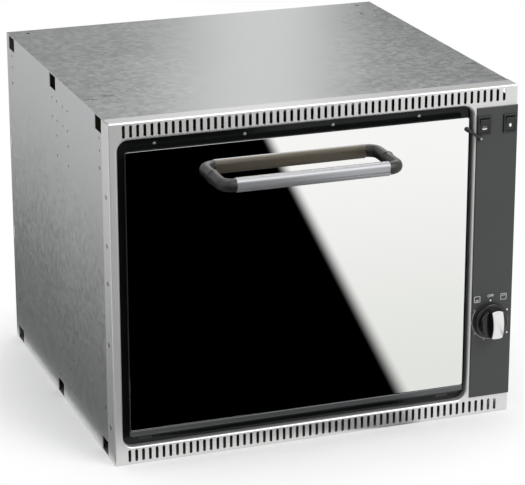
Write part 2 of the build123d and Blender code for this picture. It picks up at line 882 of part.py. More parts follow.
def travel_latch():
    """A finger on a pin through the panel's edge, turned over the edge of the glass."""
    pin = rod_y(latch_x, latch_z, latch_back, latch_pin_tail, latch_pin_radius)
    collar = rod_y(latch_x, latch_z, fascia_sheet + slip, fascia_sheet + slip + latch_collar_thick,
                   latch_pin_radius + latch_collar)
    hub = fillet(front_edges(rod_y(latch_x, latch_z, latch_front, latch_back, latch_hub)), latch_round)
    tip_x = latch_x + latch_arm
    finger = block(latch_x, tip_x, latch_front, latch_back, latch_z - latch_waist, latch_z + latch_waist)
    tip = fillet(front_edges(rod_y(tip_x, latch_z, latch_front, latch_back, latch_tip)), latch_round)
    spin = Pos(latch_x, 0, latch_z)
    arm = spin * Rot(0, -latch_turned, 0) * spin.inverse() * (finger + tip)
    return pin + collar + hub + arm


def level_height(level):
    """The height of a shelf level, counted from the lowest as 0."""
    return runner_first + level * runner_pitch


def shelf_runner(side):
    """A wire rack that hangs on one side wall of the cavity."""
    wall = cavity_left if side > 0 else cavity_right
    rail_x = wall + side * runner_off
    post_x = wall + side * (runner_wire + slip)
    levels = [level_height(i) for i in range(runner_levels)]
    rack = Part()
    for d in (runner_front + runner_post, runner_rear - runner_post):
        rack += rod_z(post_x, d, levels[0] - runner_end, levels[-1] + runner_end, runner_wire)
        for z in (levels[0] - runner_stub, levels[-1] + runner_stub):
            rack += rod_x(min(wall, post_x), max(wall, post_x), d, z, 1.5 * runner_wire)
    for z in levels:
        rack += rod_y(rail_x, z, runner_front, runner_rear, runner_wire)
    return rack


def wire_shelf():
    z = level_height(shelf_level) + runner_wire + shelf_rod
    left = cavity_left + shelf_edge
    right = cavity_right - shelf_edge
    rear = shelf_front + shelf_length
    end = shelf_rod + shelf_over
    shelf = rod_y(left, z, shelf_front - end, rear + end, shelf_rod)
    shelf += rod_y(right, z, shelf_front - end, rear + end, shelf_rod)
    for d in (shelf_front, rear):
        shelf += rod_x(left, right, d, z, shelf_cross)
    count = int((right - left) / shelf_pitch) - 1
    first = (left + right) / 2 - (count - 1) / 2 * shelf_pitch
    for i in range(count):
        shelf += rod_y(first + i * shelf_pitch, z + shelf_wire_lift, shelf_front - shelf_wire_over,
                       rear + shelf_wire_over, shelf_wire)
    return shelf


def tray_shape(left, right, near, far, low, high, radius):
    """A block with rounded upright corners and a rounded floor."""
    body = block(left, right, near, far, low, high)
    return fillet(body.edges().filter_by(Axis.Z) + body.faces().sort_by(Axis.Z)[0].edges(), radius)


def drip_tray():
    z = level_height(tray_level) + runner_wire + slip
    left = cavity_left + shelf_edge - shelf_rod
    right = cavity_right - shelf_edge + shelf_rod
    rear = shelf_front + tray_length
    rim = tray_rim
    wall = tray_rim + tray_sheet
    tray = block(left, right, shelf_front, rear, z, z + tray_sheet)
    tray += tray_shape(left + rim, right - rim, shelf_front + rim, rear - rim, z - tray_deep, z, tray_corner)
    return tray - tray_shape(left + wall, right - wall, shelf_front + wall, rear - wall,
                             z - tray_deep + tray_sheet, z + tray_sheet + over, tray_corner - tray_sheet)


def oven_burner():
    d = oven_burner_depth
    z = oven_burner_z
    tube = rod_x(burner_left, feed_end_x, d, z, oven_burner_radius)
    tube += rod_x(cavity_right - flange_thick, cavity_right, d, z, flange_radius)
    for x in (burner_left + 2 * burner_foot, cavity_x + 4 * burner_foot):
        tube += block(x, x + burner_foot, d - burner_foot / 2, d + burner_foot / 2, cavity_bottom, z)
    tube -= rod_x(burner_left + 2 * burner_wall, feed_end_x + over, d, z, oven_burner_radius - burner_wall)
    for i in range(jet_count):
        x = burner_left + jet_first + i * jet_pitch
        tube -= rod_y(x, z + oven_burner_radius / 4, d - 1.5 * oven_burner_radius, d, jet_radius)
    return tube


def burner_cover():
    left = cavity_left + cover_left_room
    right = cavity_right - cover_right_room
    plate = block(left, right, cover_front, cover_rear, cover_z, cover_z + cover_sheet)
    for near in (cover_front, cover_rear - cover_sheet):
        plate += block(left, right, near, near + cover_sheet, cavity_bottom, cover_z)
    pitch = (right - left - 2 * cover_slot_margin) / (cover_slots - 1)
    places = [left + cover_slot_margin + i * pitch for i in range(cover_slots)]
    slot = SlotOverall(cover_slot_length, cover_slot_width)
    flat = Plane((0, front + (cover_front + cover_rear) / 2, cover_z - over))
    plate -= extrude(flat * (Sketch() + [Pos(x, 0) * slot for x in places]), amount=3 * over)
    row = Sketch() + [Pos(x, cavity_bottom + cover_slot_rise) * slot for x in places]
    return plate - face_plate(row, cover_front - over, cover_front + 2 * over)


def grill_burner():
    left = grill_x - grill_half_width
    right = grill_x + grill_half_width
    box = block(left, right, grill_depth - grill_half_depth, grill_depth + grill_half_depth,
                grill_z - grill_thick / 2, grill_z + grill_thick / 2)
    box = fillet(box.edges().filter_by(Axis.Z), grill_corner)
    box += rod_x(right - grill_tube, feed_end_x, grill_depth, grill_z, grill_tube)
    box += rod_x(cavity_right - flange_thick, cavity_right, grill_depth, grill_z, flange_radius)
    for x in (left + grill_post_inset, right - grill_post_inset):
        for side in (-1, 1):
            d = grill_depth + side * (grill_half_depth - grill_post_inset)
            box += rod_z(x, d, grill_z, reflector_z, grill_post)
    return box - rod_x(right, feed_end_x + over, grill_depth, grill_z, grill_tube - burner_wall)


def grill_reflector():
    left = grill_x - grill_half_width - reflector_lap
    right = grill_x + grill_half_width + reflector_lap
    near = grill_depth - grill_half_depth - reflector_lap
    far = grill_depth + grill_half_depth + reflector_lap
    plate = block(left, right, near, far, reflector_z, reflector_z + reflector_sheet)
    for d in (near, far - reflector_sheet):
        plate += block(left, right, d, d + reflector_sheet, reflector_z, cavity_top)
    return plate


def grill_screen():
    """The perforated plate that glows under the grill burner."""
    z = grill_z - grill_thick / 2
    wide = grill_half_width - screen_inset
    deep = grill_half_depth - screen_inset
    plate = block(grill_x - wide, grill_x + wide, grill_depth - deep, grill_depth + deep, z - screen_thick, z)
    across = 2 * (wide - screen_column_margin) / (screen_columns - 1)
    along = 2 * (deep - screen_row_margin) / (screen_rows - 1)
    hole = Circle(screen_hole)
    cells = Sketch() + [Pos(grill_x + (i - (screen_columns - 1) / 2) * across, (j - (screen_rows - 1) / 2) * along) * hole
                        for i in range(screen_columns) for j in range(screen_rows)]
    flat = Plane((0, front + grill_depth, z - screen_thick - over))
    return plate - extrude(flat * cells, amount=screen_thick + 2 * over)


def probe(place, collar):
    """A burner probe that passes the cavity wall, held by its collar."""
    d, z = place
    inner = cavity_right - probe_reach
    rod = rod_x(inner, partition_x + probe_tail, d, z, probe_radius)
    rod += rod_x(cavity_right - probe_collar_thick, cavity_right, d, z, collar)
    return rod + rod_x(inner - probe_tip_length, inner, d, z, probe_tip_radius)


def thermostat_phial():
    right = cavity_right - phial_side
    x = knob_x + phial_radius / 2
    line = pipe([(x, valve_rear, knob_z), (x, phial_depth, knob_z), (x, phial_depth, phial_z),
                 (right, phial_depth, phial_z)], capillary_radius, 8 * capillary_radius)
    bulb = rod_x(right - phial_length, right, phial_depth, phial_z, phial_radius)
    clip_x = right - phial_length / 2
    clip = block(clip_x - phial_radius, clip_x + phial_radius, phial_depth, cavity_rear, phial_z - 2, phial_z + 2)
    return line + bulb + clip


def lamp_holder():
    rear = cavity_rear + lamp_can_depth
    can = rod_y(lamp_x, lamp_z, cavity_rear + liner_sheet, rear, lamp_hole + liner_sheet)
    can -= rod_y(lamp_x, lamp_z, cavity_rear, rear - lamp_can_wall, lamp_hole - liner_sheet)
    return can + rod_y(lamp_x, lamp_z, rear - socket_length, rear, socket_radius)


def lamp_bulb():
    rear = cavity_rear + lamp_can_depth - socket_length
    bulb = rod_y(lamp_x, lamp_z, rear - bulb_length, rear, bulb_radius)
    return fillet(front_edges(bulb), bulb_radius - liner_sheet)


def lamp_lens():
    near = cavity_rear - lens_thick
    lens = rod_y(lamp_x, lamp_z, near, cavity_rear, lens_radius)
    lens = fillet(front_edges(lens), lens_round)
    return lens - rod_y(lamp_x, lamp_z, near + lens_skin, cavity_rear + over, lens_radius - lens_wall)


def flue_duct():
    """A riser from the cavity's ceiling and a flat run to the vents above the door."""
    s = flue_sheet
    duct = block(flue_left - s, flue_right + s, flue_hole_front - s, flue_hole_rear + s, cavity_top + liner_sheet,
                 flue_low + s)
    duct += block(flue_left - s, flue_right + s, flue_front, flue_hole_rear + s, flue_low, flue_high)
    duct -= block(flue_left, flue_right, flue_hole_front, flue_hole_rear, cavity_top, flue_high - s)
    duct -= block(flue_left, flue_right, flue_front - over, flue_hole_rear, flue_low + s, flue_high - s)
    lug_rear = flue_lug_depth + flue_lug_deep
    for x in (flue_left - s - flue_lug, flue_right + s):
        duct += block(x, x + flue_lug, flue_lug_depth, lug_rear, flue_high - s, flue_high)
        duct += block(x, x + s, flue_lug_depth, lug_rear, flue_high - s, case_top - case_sheet)
    return duct


def gas_inlet_stub():
    near = recess_wall + nut_thick
    stub = rod_y(inlet_x, inlet_z, near, oven_depth - stub_rear_gap, inlet_radius)
    nut = Plane((inlet_x, front + near, inlet_z), x_dir=(1, 0, 0), z_dir=(0, -1, 0)) * RegularPolygon(nut_radius, 6)
    stub += extrude(nut, amount=nut_thick)
    stub += rod_y(inlet_x, inlet_z, recess_wall - inlet_tail, recess_wall, inlet_sleeve)
    return stub - rod_y(inlet_x, inlet_z, recess_wall - inlet_tail - over, oven_depth, inlet_radius - 1)


def inlet_pipe():
    return pipe([(inlet_x, recess_wall - inlet_tail, inlet_z), (inlet_x, inlet_turn_depth, inlet_z),
                 (inlet_x, inlet_turn_depth, valve_bottom)], inlet_radius, 4 * inlet_radius)


def oven_gas_pipe():
    x = valve_left + outlet_inset
    d = oven_burner_depth
    z = valve_bottom + oven_outlet_rise
    return pipe([(x, valve_rear, z), (x, d, z), (x, d, oven_burner_z), (feed_end_x, d, oven_burner_z)],
                pipe_radius, 2 * pipe_radius)


def grill_gas_pipe():
    x = valve_right - outlet_inset
    d = grill_depth
    z = valve_top - grill_outlet_drop
    return pipe([(x, valve_rear, z), (x, d, z), (x, d, grill_z), (feed_end_x, d, grill_z)],
                pipe_radius, 4 * pipe_radius)


def ignition_module():
    face = partition_x + case_sheet
    near, far = module_depths
    box = block(face, face + module_thick, near, far, *module_heights)
    box = fillet(box.edges().filter_by(Axis.X), module_post)
    z = sum(module_heights) / 2
    for d in ((3 * near + far) / 4, (near + 3 * far) / 4):
        box += rod_x(face + module_thick, face + module_thick + module_post_length, d, z, module_post)
    return box


def control_partition():
    rear = back_plate - case_sheet - slip
    left = partition_x
    right = partition_x + case_sheet
    foot_front = inlet_turn_depth - valve_post_inset
    wall = block(left, right, liner_front, rear, flange_drop + over, case_top - case_sheet)
    wall += block(left - back_screw_end, left, foot_front, rear, case_sheet, case_sheet * 2)
    wall += block(left, right, foot_front, rear, case_sheet, flange_drop + over)
    return liner_holes(wall)


def side_pattern():
    """Depth and height of each small hole pierced in a side panel."""
    spots = [(d, oven_height - z) for d in pierce_near for z in pierce_high_drops]
    spots += [(d, oven_height - z) for d in pierce_wide for z in pierce_middle_drops]
    spots += [(d, z) for d in pierce_wide for z in pierce_middle_heights]
    spots += [(d, z) for d in pierce_low for z in pierce_low_heights]
    return spots + [(d, oven_height - z) for d in (fixing_front, fixing_rear) for z in pierce_corner_drops]


def cut_windows(body, low, high, margin=0.0):
    """Cuts the small windows along the top and the bottom edge of a side, between two widths."""
    for d in window_depths:
        for bottom in (window_low, case_top - window_high):
            body -= block(low, high, d - margin, d + window_width + margin, bottom - margin,
                          bottom + window_height + margin)
    return body


def back_screw_places():
    sides = [(side * (case_in - back_screw_inset), z) for side in (-1, 1)
             for z in (oven_height * share for share in (0.274, 0.595, 0.917))]
    ends = [(x, z) for x in (-0.314 * oven_width, 0.0, 0.294 * oven_width)
            for z in (back_screw_end, case_top - back_screw_end)]
    return sides + ends


def back_screw_holes(body):
    for x, z in back_screw_places():
        body -= rod_y(x, z, back_plate - case_sheet - over, back_plate + case_sheet + over, screw_radius + flat_gap)
    return body


def side_panel(side):
    inner = case_in if side > 0 else -case_half
    outer = case_half if side > 0 else -case_in
    panel = block(inner, outer, fascia_sheet, oven_depth, 0, case_top)
    panel -= block(inner - over, outer + over, 0, base_return + slip, -over, fascia_sheet)
    edge = inner if side > 0 else outer
    flange = edge - side * rear_flange
    panel += block(min(edge, flange), max(edge, flange), back_plate - case_sheet, back_plate,
                   rear_flange_low, window_low - window_top_gap)
    low = inner - over
    high = outer + over
    panel = cut_windows(panel, low, high)
    for z in rear_slot_heights:
        panel -= block(low, high, oven_depth - rear_slot_far, oven_depth - rear_slot_near, z, z + rear_slot_tall)
    for d, z in side_pattern():
        panel -= rod_x(low, high, d, z, pierce_radius)
    for d in (fixing_front, fixing_rear):
        for z in (fixing_low, fixing_high):
            panel -= rod_x(low, high, d, z, fixing_radius)
    for z in rivet_heights:
        panel -= rod_x(low, high, rivet_depth, z, rivet_radius + flat_gap)
    return back_screw_holes(panel)


def flanged_sheet(near, low, high, flange_low, flange_high):
    """A top or base sheet with a flange along each side and the back; windows leave the side flanges open."""
    t = case_sheet
    sheet = block(-case_in, case_in, near, oven_depth, low, high)
    for side in (-case_in, case_in - t):
        flange = block(side, side + t, side_return, back_plate - over, flange_low, flange_high)
        sheet += cut_windows(flange, side - over, side + t + over, over)
    return sheet + block(-case_in + rear_flange, case_in - rear_flange, back_plate - t, back_plate,
                         flange_low, flange_high)


def top_panel():
    t = case_sheet
    top = flanged_sheet(fascia_sheet, case_top - t, case_top, case_top - flange_drop, case_top - t)
    slot = SlotOverall(tie_slot_length, tie_slot_width)
    cuts = Sketch() + [Pos(side * (half - x), front + d) * slot for side in (-1, 1) for x, d in tie_slots]
    cuts += [Pos(half - x, front + oven_depth - d) * Circle(radius) for x, d, radius in top_holes]
    x, d, radius = top_holes[0]
    cuts += Pos(x - half, front + oven_depth - d) * Circle(radius)
    top -= extrude(Plane((0, 0, case_top - t - over)) * cuts, amount=t + 2 * over)
    return back_screw_holes(top)


def base_panel():
    t = case_sheet
    lap = fascia_sheet + t
    near = base_return + slip
    base = flanged_sheet(near, 0, t, t, flange_drop)
    base += block(-case_in, case_in, near, near + t, 0, lap)
    base += block(-case_in, case_in, surround_lap, near + t, fascia_sheet, lap)
    return back_screw_holes(base)


def back_panel():
    t = case_sheet
    panel = block(-case_in, case_in, back_plate, back_plate + t, t, case_top - t)
    panel += block(recess_left, recess_right, recess_wall - t, back_plate + t, recess_low, recess_high)
    panel -= block(recess_left + t, recess_right - t, recess_wall, oven_depth, recess_low + t, recess_high - t)
    panel -= rod_y(inlet_x, inlet_z, recess_wall - t - over, recess_wall + over, inlet_sleeve + flat_gap)
    louvre = SlotOverall(louvre_length, louvre_width)
    middle = (louvre_rows - 1) / 2
    rows = [Pos((i - middle) * louvre_pitch_x, oven_height - louvre_drop - j * louvre_pitch_z) * louvre
            for i in range(louvre_rows) for j in range(louvre_rows)]
    panel -= face_plate(Sketch() + rows, back_plate - over, back_plate + t + over)
    panel -= rod_y(grommet_x, grommet_z, back_plate - over, back_plate + t + over, grommet_hole)
    return back_screw_holes(panel)


def cable_grommet():
    rear = back_plate + case_sheet
    body = rod_y(grommet_x, grommet_z, back_plate, rear, grommet_hole - flat_gap)
    rim = grommet_rim
    body += rod_y(grommet_x, grommet_z, rear, rear + rim, grommet_hole + rim)
    body += rod_y(grommet_x, grommet_z, back_plate - rim, back_plate, grommet_hole + rim)
    return body - rod_y(grommet_x, grommet_z, back_plate - rim - over, rear + rim + over, grommet_bore)


def casing_screws():
    screws = Part()
    turn = Rot(0, 0, 180)
    for x, z in back_screw_places():
        seat = oven_depth - (back_plate + case_sheet)
        screws += turn * pan_head(-x, z, seat, screw_head, screw_head_thick, screw_radius, screw_length)
    return screws


probe_names = ("oven_electrode", "oven_thermocouple", "grill_electrode", "grill_thermocouple")

pieces = {
    "front_fascia": front_fascia,
    "fascia_rivets": fascia_rivets,
    "control_panel": control_panel,
    "light_switch_housing": lambda: switch_housing(switch_left_x),
    "ignition_switch_housing": lambda: switch_housing(switch_right_x),
    "light_rocker": lambda: rocker(switch_left_x),
    "ignition_rocker": lambda: rocker(switch_right_x),
    "knob_body": knob_body,
    "knob_insert": knob_insert,
    "knob_spindle": knob_spindle,
    "valve_rotor": valve_rotor,
    "gas_valve": gas_valve,
    "door_surround": door_surround,
    "surround_screws": surround_screws,
    "oven_liner": oven_liner,
    "insulation_jacket": insulation_jacket,
    "door_gasket": door_gasket,
    "door_catches": door_catches,
    "hinge_lugs": hinge_lugs,
    "hinge_pins": hinge_pins,
    "door_glass": door_glass,
    "door_frame": door_frame,
    "inner_glass": inner_glass,
    "door_lower_trim": door_lower_trim,
    "handle_bar": handle_bar,
    "handle_end_left": lambda: handle_end(-1),
    "handle_end_right": lambda: handle_end(1),
    "handle_screws": handle_screws,
    "travel_latch": travel_latch,
    "shelf_runner_left": lambda: shelf_runner(1),
    "shelf_runner_right": lambda: shelf_runner(-1),
    "wire_shelf": wire_shelf,
    "drip_tray": drip_tray,
    "oven_burner": oven_burner,
    "burner_cover": burner_cover,
    "grill_burner": grill_burner,
    "grill_reflector": grill_reflector,
    "grill_screen": grill_screen,
    "thermostat_phial": thermostat_phial,
    "lamp_holder": lamp_holder,
    "lamp_bulb": lamp_bulb,
    "lamp_lens": lamp_lens,
    "flue_duct": flue_duct,
    "gas_inlet_stub": gas_inlet_stub,
    "inlet_pipe": inlet_pipe,
    "oven_gas_pipe": oven_gas_pipe,
    "grill_gas_pipe": grill_gas_pipe,
    "ignition_module": ignition_module,
    "control_partition": control_partition,
    "left_side_panel": lambda: side_panel(-1),
    "right_side_panel": lambda: side_panel(1),
    "top_panel": top_panel,
    "base_panel": base_panel,
    "back_panel": back_panel,
    "cable_grommet": cable_grommet,
    "casing_screws": casing_screws,
}
for probe_name, probe_place in zip(probe_names, probe_places):
    collar = electrode_collar if "electrode" in probe_name else thermocouple_collar
    pieces[probe_name] = lambda place=probe_place, radius=collar: probe(place, radius)

os.makedirs("parts", exist_ok=True)
for name, make in pieces.items():
    export_step(make(), f"parts/{name}.step")
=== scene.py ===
import json
import math

import bmesh
import bpy
from mathutils import Matrix, Vector


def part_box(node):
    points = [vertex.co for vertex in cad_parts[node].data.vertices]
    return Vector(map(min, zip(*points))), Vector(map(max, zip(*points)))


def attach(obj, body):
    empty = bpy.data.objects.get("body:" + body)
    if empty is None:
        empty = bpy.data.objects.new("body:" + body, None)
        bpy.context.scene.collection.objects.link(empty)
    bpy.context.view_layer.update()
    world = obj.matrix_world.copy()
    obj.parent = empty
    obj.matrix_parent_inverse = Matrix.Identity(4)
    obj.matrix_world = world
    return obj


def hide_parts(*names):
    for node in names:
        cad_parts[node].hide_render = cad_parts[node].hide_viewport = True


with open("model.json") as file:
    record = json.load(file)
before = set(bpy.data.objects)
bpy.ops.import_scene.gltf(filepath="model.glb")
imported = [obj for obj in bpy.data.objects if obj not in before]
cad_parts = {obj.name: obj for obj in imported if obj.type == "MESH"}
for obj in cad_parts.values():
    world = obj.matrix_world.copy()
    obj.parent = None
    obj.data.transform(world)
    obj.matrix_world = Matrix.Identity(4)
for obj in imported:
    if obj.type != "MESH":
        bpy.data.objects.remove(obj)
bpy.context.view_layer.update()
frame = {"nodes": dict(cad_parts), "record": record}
nodes = frame["nodes"]
print("frame loaded,", len(nodes), "nodes")

mm = 0.001
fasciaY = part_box("front_fascia")[0].y
glassLow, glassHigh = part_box("door_glass")


def depth(d):
    # a depth in millimetres behind the fascia's front face, as a Y in metres
    return fasciaY + d * mm


# The camera stands where the photograph's perspective puts it
view = {
    "place": (-984.7, -2519.3, 1171.0),     # millimetres from the foot of the fascia
    "azimuth": -19.956,
    "elevation": 18.806,
    "roll": 0.045,
    "focalPixels": 2417.5,
    "pixelsWide": 525,
    "pixelsHigh": 485,
    "sensor": 36.0,
}


def makeCamera(v):
    az, el = math.radians(v["azimuth"]), math.radians(v["elevation"])
    back = Vector((math.sin(az) * math.cos(el), -math.cos(az) * math.cos(el), math.sin(el)))
    right = Vector((math.cos(az), math.sin(az), 0))
    up = back.cross(right)
    turn = Matrix((right, up, back)).transposed().to_4x4()
    roll = Matrix.Rotation(math.radians(-v["roll"]), 4, "Z")
    data = bpy.data.cameras.new("camera")
    data.sensor_width = v["sensor"]
    data.lens = v["focalPixels"] * v["sensor"] / v["pixelsWide"]
    data.clip_end = 60
    cam = bpy.data.objects.new("camera", data)
    x, y, z = v["place"]
    cam.matrix_world = Matrix.Translation((x * mm, fasciaY + y * mm, z * mm)) @ turn @ roll
    bpy.context.scene.collection.objects.link(cam)
    bpy.context.scene.camera = cam
    return cam


camera = makeCamera(view)
bpy.context.view_layer.update()


def pixelRay(pixel):
    # the direction in which the camera sees a pixel of the photograph
    x = (pixel[0] - view["pixelsWide"] / 2) / view["focalPixels"]
    y = (view["pixelsHigh"] / 2 - pixel[1]) / view["focalPixels"]
    return (camera.matrix_world.to_3x3() @ Vector((x, y, -1))).normalized()


def mirroredOnFloor(pixel):
    # where the floor lies that the door glass shows at a pixel
    eye, ray = camera.matrix_world.translation, pixelRay(pixel)
    hit = eye + ray * ((glassLow.y - eye.y) / ray.y)
    away = Vector((ray.x, -ray.y, ray.z))
    return hit + away * (-hit.z / away.z)


print("camera ready")


# Handle sizes, which its finish needs too
handle = {
    "x": -23.5, "z": 346.4, "out": 42.3,
    "length": 189.0, "tall": 16.6, "deep": 14.0, "corner": 5.4,
    "ledgeZ": -2.4, "ledgeTall": 0.9, "ledgeDeep": 0.9, "ledgeProud": 0.25,     # the bright line in the face
    "endShare": 0.497, "endSize": 0.94,     # the bar's ends are slightly chamfered
    "legRadius": 7.2, "reach": 21.0, "footRadius": 8.4, "glassProud": 4.5, "oval": 1.08,
    "lap": 0.3, "straight": 1.5, "collar": 1.02, "ankle": 1.04, "footHeights": (14, 4, 2.2, 0.6, 0),
}


objectCoordinates = 3     # the Texture Coordinate node's output that follows the piece


# Shader maths reads as plain expressions on wires
class Wire:
    def __init__(self, tree, socket):
        self.tree = tree
        self.socket = socket

    def sum(self, other, operation, swap=False):
        pair = (other, self) if swap else (self, other)
        return self.tree.node("Math", {"operation": operation}, *pair)

    def __add__(self, other):
        return self.sum(other, "ADD")

    def __radd__(self, other):
        return self.sum(other, "ADD", True)

    def __sub__(self, other):
        return self.sum(other, "SUBTRACT")

    def __rsub__(self, other):
        return self.sum(other, "SUBTRACT", True)

    def __mul__(self, other):
        return self.sum(other, "MULTIPLY")

    def __rmul__(self, other):
        return self.sum(other, "MULTIPLY", True)

    def __gt__(self, other):
        return self.sum(other, "GREATER_THAN")

    def high(self, other):
        return self.sum(other, "MAXIMUM")

    def ramp(self, fromLow, fromHigh):
        return self.tree.node("MapRange", {"interpolation_type": "SMOOTHSTEP", "clamp": True},
                              self, fromLow, fromHigh, 0.0, 1.0)


# Nodes of a material or of the world are all added in one way
class Tree:
    def __init__(self, nodeTree):
        self.nodeTree = nodeTree

    def node(self, kind, settings, *inputs, out=0):
        made = self.nodeTree.nodes.new("ShaderNode" + kind)
        for key, value in settings.items():
            setattr(made, key, value)
        sockets = [s for s in made.inputs if s.enabled]
        for socket, value in zip(sockets, inputs):
            self.feed(socket, value)
        outs = [s for s in made.outputs if s.enabled]
        return Wire(self, outs[out])

    def feed(self, socket, value):
        if isinstance(value, Wire):
            self.nodeTree.links.new(value.socket, socket)
        elif value is not None:
            isColour = socket.type == "RGBA" and len(value) == 3
            socket.default_value = (*value, 1) if isColour else value

    def rays(self, *kinds):
        # one for rays of these kinds, such as Camera, and nothing for the rest
        path = self.nodeTree.nodes.new("ShaderNodeLightPath")
        first, *others = [Wire(self, path.outputs["Is " + kind + " Ray"]) for kind in kinds]
        for other in others:
            first = first.high(other)
        return first

    def surface(self, output, shader):
        self.feed(self.nodeTree.nodes[output].inputs["Surface"], shader)


class Finish(Tree):
    def __init__(self, name, colour, **values):
        self.material = bpy.data.materials.new(name)
        self.material.use_nodes = True
        super().__init__(self.material.node_tree)
        self.shader = self.nodeTree.nodes["Principled BSDF"]
        self.shader.inputs["Base Color"].default_value = (*colour, 1)
        self.give(**values)

    def give(self, **values):
        for key, value in values.items():
            self.feed(self.shader.inputs[key.replace("_", " ")], value)
        return self

    def place(self):
        return self.node("TexCoord", {}, out=objectCoordinates)

    def axes(self):
        split = self.nodeTree.nodes.new("ShaderNodeSeparateXYZ")
        self.feed(split.inputs[0], self.place())
        return [Wire(self, s) for s in split.outputs]

    def stretched(self, x, y, z):
        return self.node("VectorMath", {"operation": "MULTIPLY"}, self.place(), (x, y, z))

    def noise(self, vector, scale=1.0, detail=3.0, rough=0.5):
        return self.node("TexNoise", {}, vector, scale, detail, rough)

    def blendColour(self, share, first, second):
        return self.node("Mix", {"data_type": "RGBA"}, share, first, second)

    def bump(self, height, strength, distance):
        made = self.nodeTree.nodes.new("ShaderNodeBump")
        made.inputs["Strength"].default_value = strength
        made.inputs["Distance"].default_value = distance
        self.feed(made.inputs["Height"], height)
        self.feed(self.shader.inputs["Normal"], Wire(self, made.outputs[0]))
        return self


# Brushed stainless sheet: long fine streaks along the width
def brushedSteel(name, colour, along, rough=0.3, metal=1.0, depthOfLines=0.12, contrast=0.06):
    f = Finish(name, colour, Metallic=metal)
    across = [900 if a == 0 else 9 for a in along]
    lines = f.noise(f.stretched(*across), 1.0, 4.0, 0.6)
    cloud = f.noise(f.place(), 9.0, 2.0, 0.5)
    shade = (lines - 0.5) * contrast * 2 + (cloud - 0.5) * 0.05
    dark = tuple(c * 0.8 for c in colour)
    bright = tuple(min(1.0, c * 1.12) for c in colour)
    f.give(Base_Color=f.blendColour(shade + 0.5, dark, bright), Roughness=lines * 0.16 + (rough - 0.08))
    return f.bump(lines, depthOfLines, 0.00004)


# Zinc coated sheet: small crystal flakes of differing brightness, a slight waviness, and dull patches
def galvanisedSheet(name, colour):
    f = Finish(name, colour, Metallic=0.78)
    flakes = f.node("TexVoronoi", {"feature": "F1"}, f.place(), 170.0, out=1)
    flakeShade = f.node("SeparateColor", {}, flakes)
    cloud = f.noise(f.place(), 5.0, 3.0, 0.55)
    grain = f.noise(f.stretched(700, 700, 700), 1.0, 2.0, 0.5)
    shade = (flakeShade - 0.5) * 0.08 + (cloud - 0.5) * 0.2 + (grain - 0.5) * 0.1
    dark = tuple(c * 0.72 for c in colour)
    bright = tuple(min(1.0, c * 1.2) for c in colour)
    f.give(Base_Color=f.blendColour(shade + 0.5, dark, bright),
           Roughness=cloud * 0.1 + flakeShade * 0.08 + 0.26)
    wave = f.noise(f.place(), 4.0, 1.0, 0.4)
    return f.bump(wave * 6.0 + grain * 0.06, 0.08, 0.002)


# Satin paint and moulded plastic share a fine grain
def grainedCoat(name, colour, rough=0.45, grain=1500.0, strength=0.12, spread=0.12, **values):
    f = Finish(name, colour, **values)
    fine = f.noise(f.place(), grain, 2.0, 0.6)
    cloud = f.noise(f.place(), 14.0, 3.0, 0.5)
    dark = tuple(c * 0.82 for c in colour)
    bright = tuple(c * 1.15 for c in colour)
    f.give(Base_Color=f.blendColour(cloud * 0.6 + fine * 0.4, dark, bright),
           Roughness=cloud * spread + (rough - spread / 2))
    return f.bump(fine, strength, 0.00005)


# Fired enamel: deep gloss with orange peel and pin-prick specks
def firedEnamel(name, colour, speck=(0.5, 0.5, 0.5), speckShare=0.0):
    f = Finish(name, colour, Roughness=0.09)
    f.shader.inputs["Specular IOR Level"].default_value = 0.2
    cloud = f.noise(f.place(), 40.0, 2.0, 0.5)
    if speckShare:
        spots = f.noise(f.place(), 900.0, 1.0, 0.4) > (1 - speckShare)
        f.give(Base_Color=f.blendColour(spots, colour, speck))
    else:
        f.give(Base_Color=f.blendColour(cloud, colour, tuple(c * 1.6 + 0.002 for c in colour)))
    f.give(Roughness=cloud * 0.08 + 0.06)
    return f.bump(cloud, 0.05, 0.0004)


# The door's front pane is a mirror coated glass with the faintest unevenness of its coat, and painted shade
# that greys its reflection towards the bottom
def mirrorGlass():
    f = Finish("mirrorGlass", (0.9, 0.91, 0.9), Metallic=1.0)
    cloud = f.noise(f.place(), 3.0, 2.0, 0.5)
    x, y, z = f.axes()
    # painted shade: the coat's colour darkens from the top of the pane to its bottom, so the reflection it
    # gives is greyer low down
    high = z.ramp(glassLow.z, glassHigh.z) + (cloud - 0.5) * 0.15
    coatWithPaintedShade = f.blendColour(high, (0.75, 0.765, 0.73), (0.91, 0.91, 0.895))
    edge = y > glassLow.y + 0.05 * mm     # the coat is on the face, not on the ground edges
    f.give(Base_Color=f.blendColour(edge, coatWithPaintedShade, (0.012, 0.013, 0.013)), Metallic=1.0 - edge,
           Roughness=cloud * 0.01 + 0.008 + edge * 0.3)
    return f


def clearGlass():
    f = Finish("clearGlass", (0.92, 0.95, 0.93), IOR=1.5)
    f.shader.inputs["Transmission Weight"].default_value = 1.0
    haze = f.noise(f.place(), 25.0, 3.0, 0.5)
    f.give(Roughness=haze * 0.05 + 0.01)
    return f


# The handle bar is anodised on its face; its back, which only the glass shows, is painted a dark brownish
# shade and made less metallic
def handleSkinWithPaintedShade():
    f = brushedSteel("handleAluminium", (0.36, 0.365, 0.38), (1, 0, 0), 0.5, 1.0, 0.2, 0.16)
    face = f.shader.inputs["Base Color"].links[0].from_socket
    # painted shade: the bar's back half gets a dark brownish colour that stands for the shade it lies in
    back = f.axes()[1] > fasciaY - (handle["out"] - 0.5) * mm
    f.give(Base_Color=f.blendColour(back, Wire(f, face), (0.115, 0.1, 0.078)), Metallic=0.75 - back * 0.35)
    return f


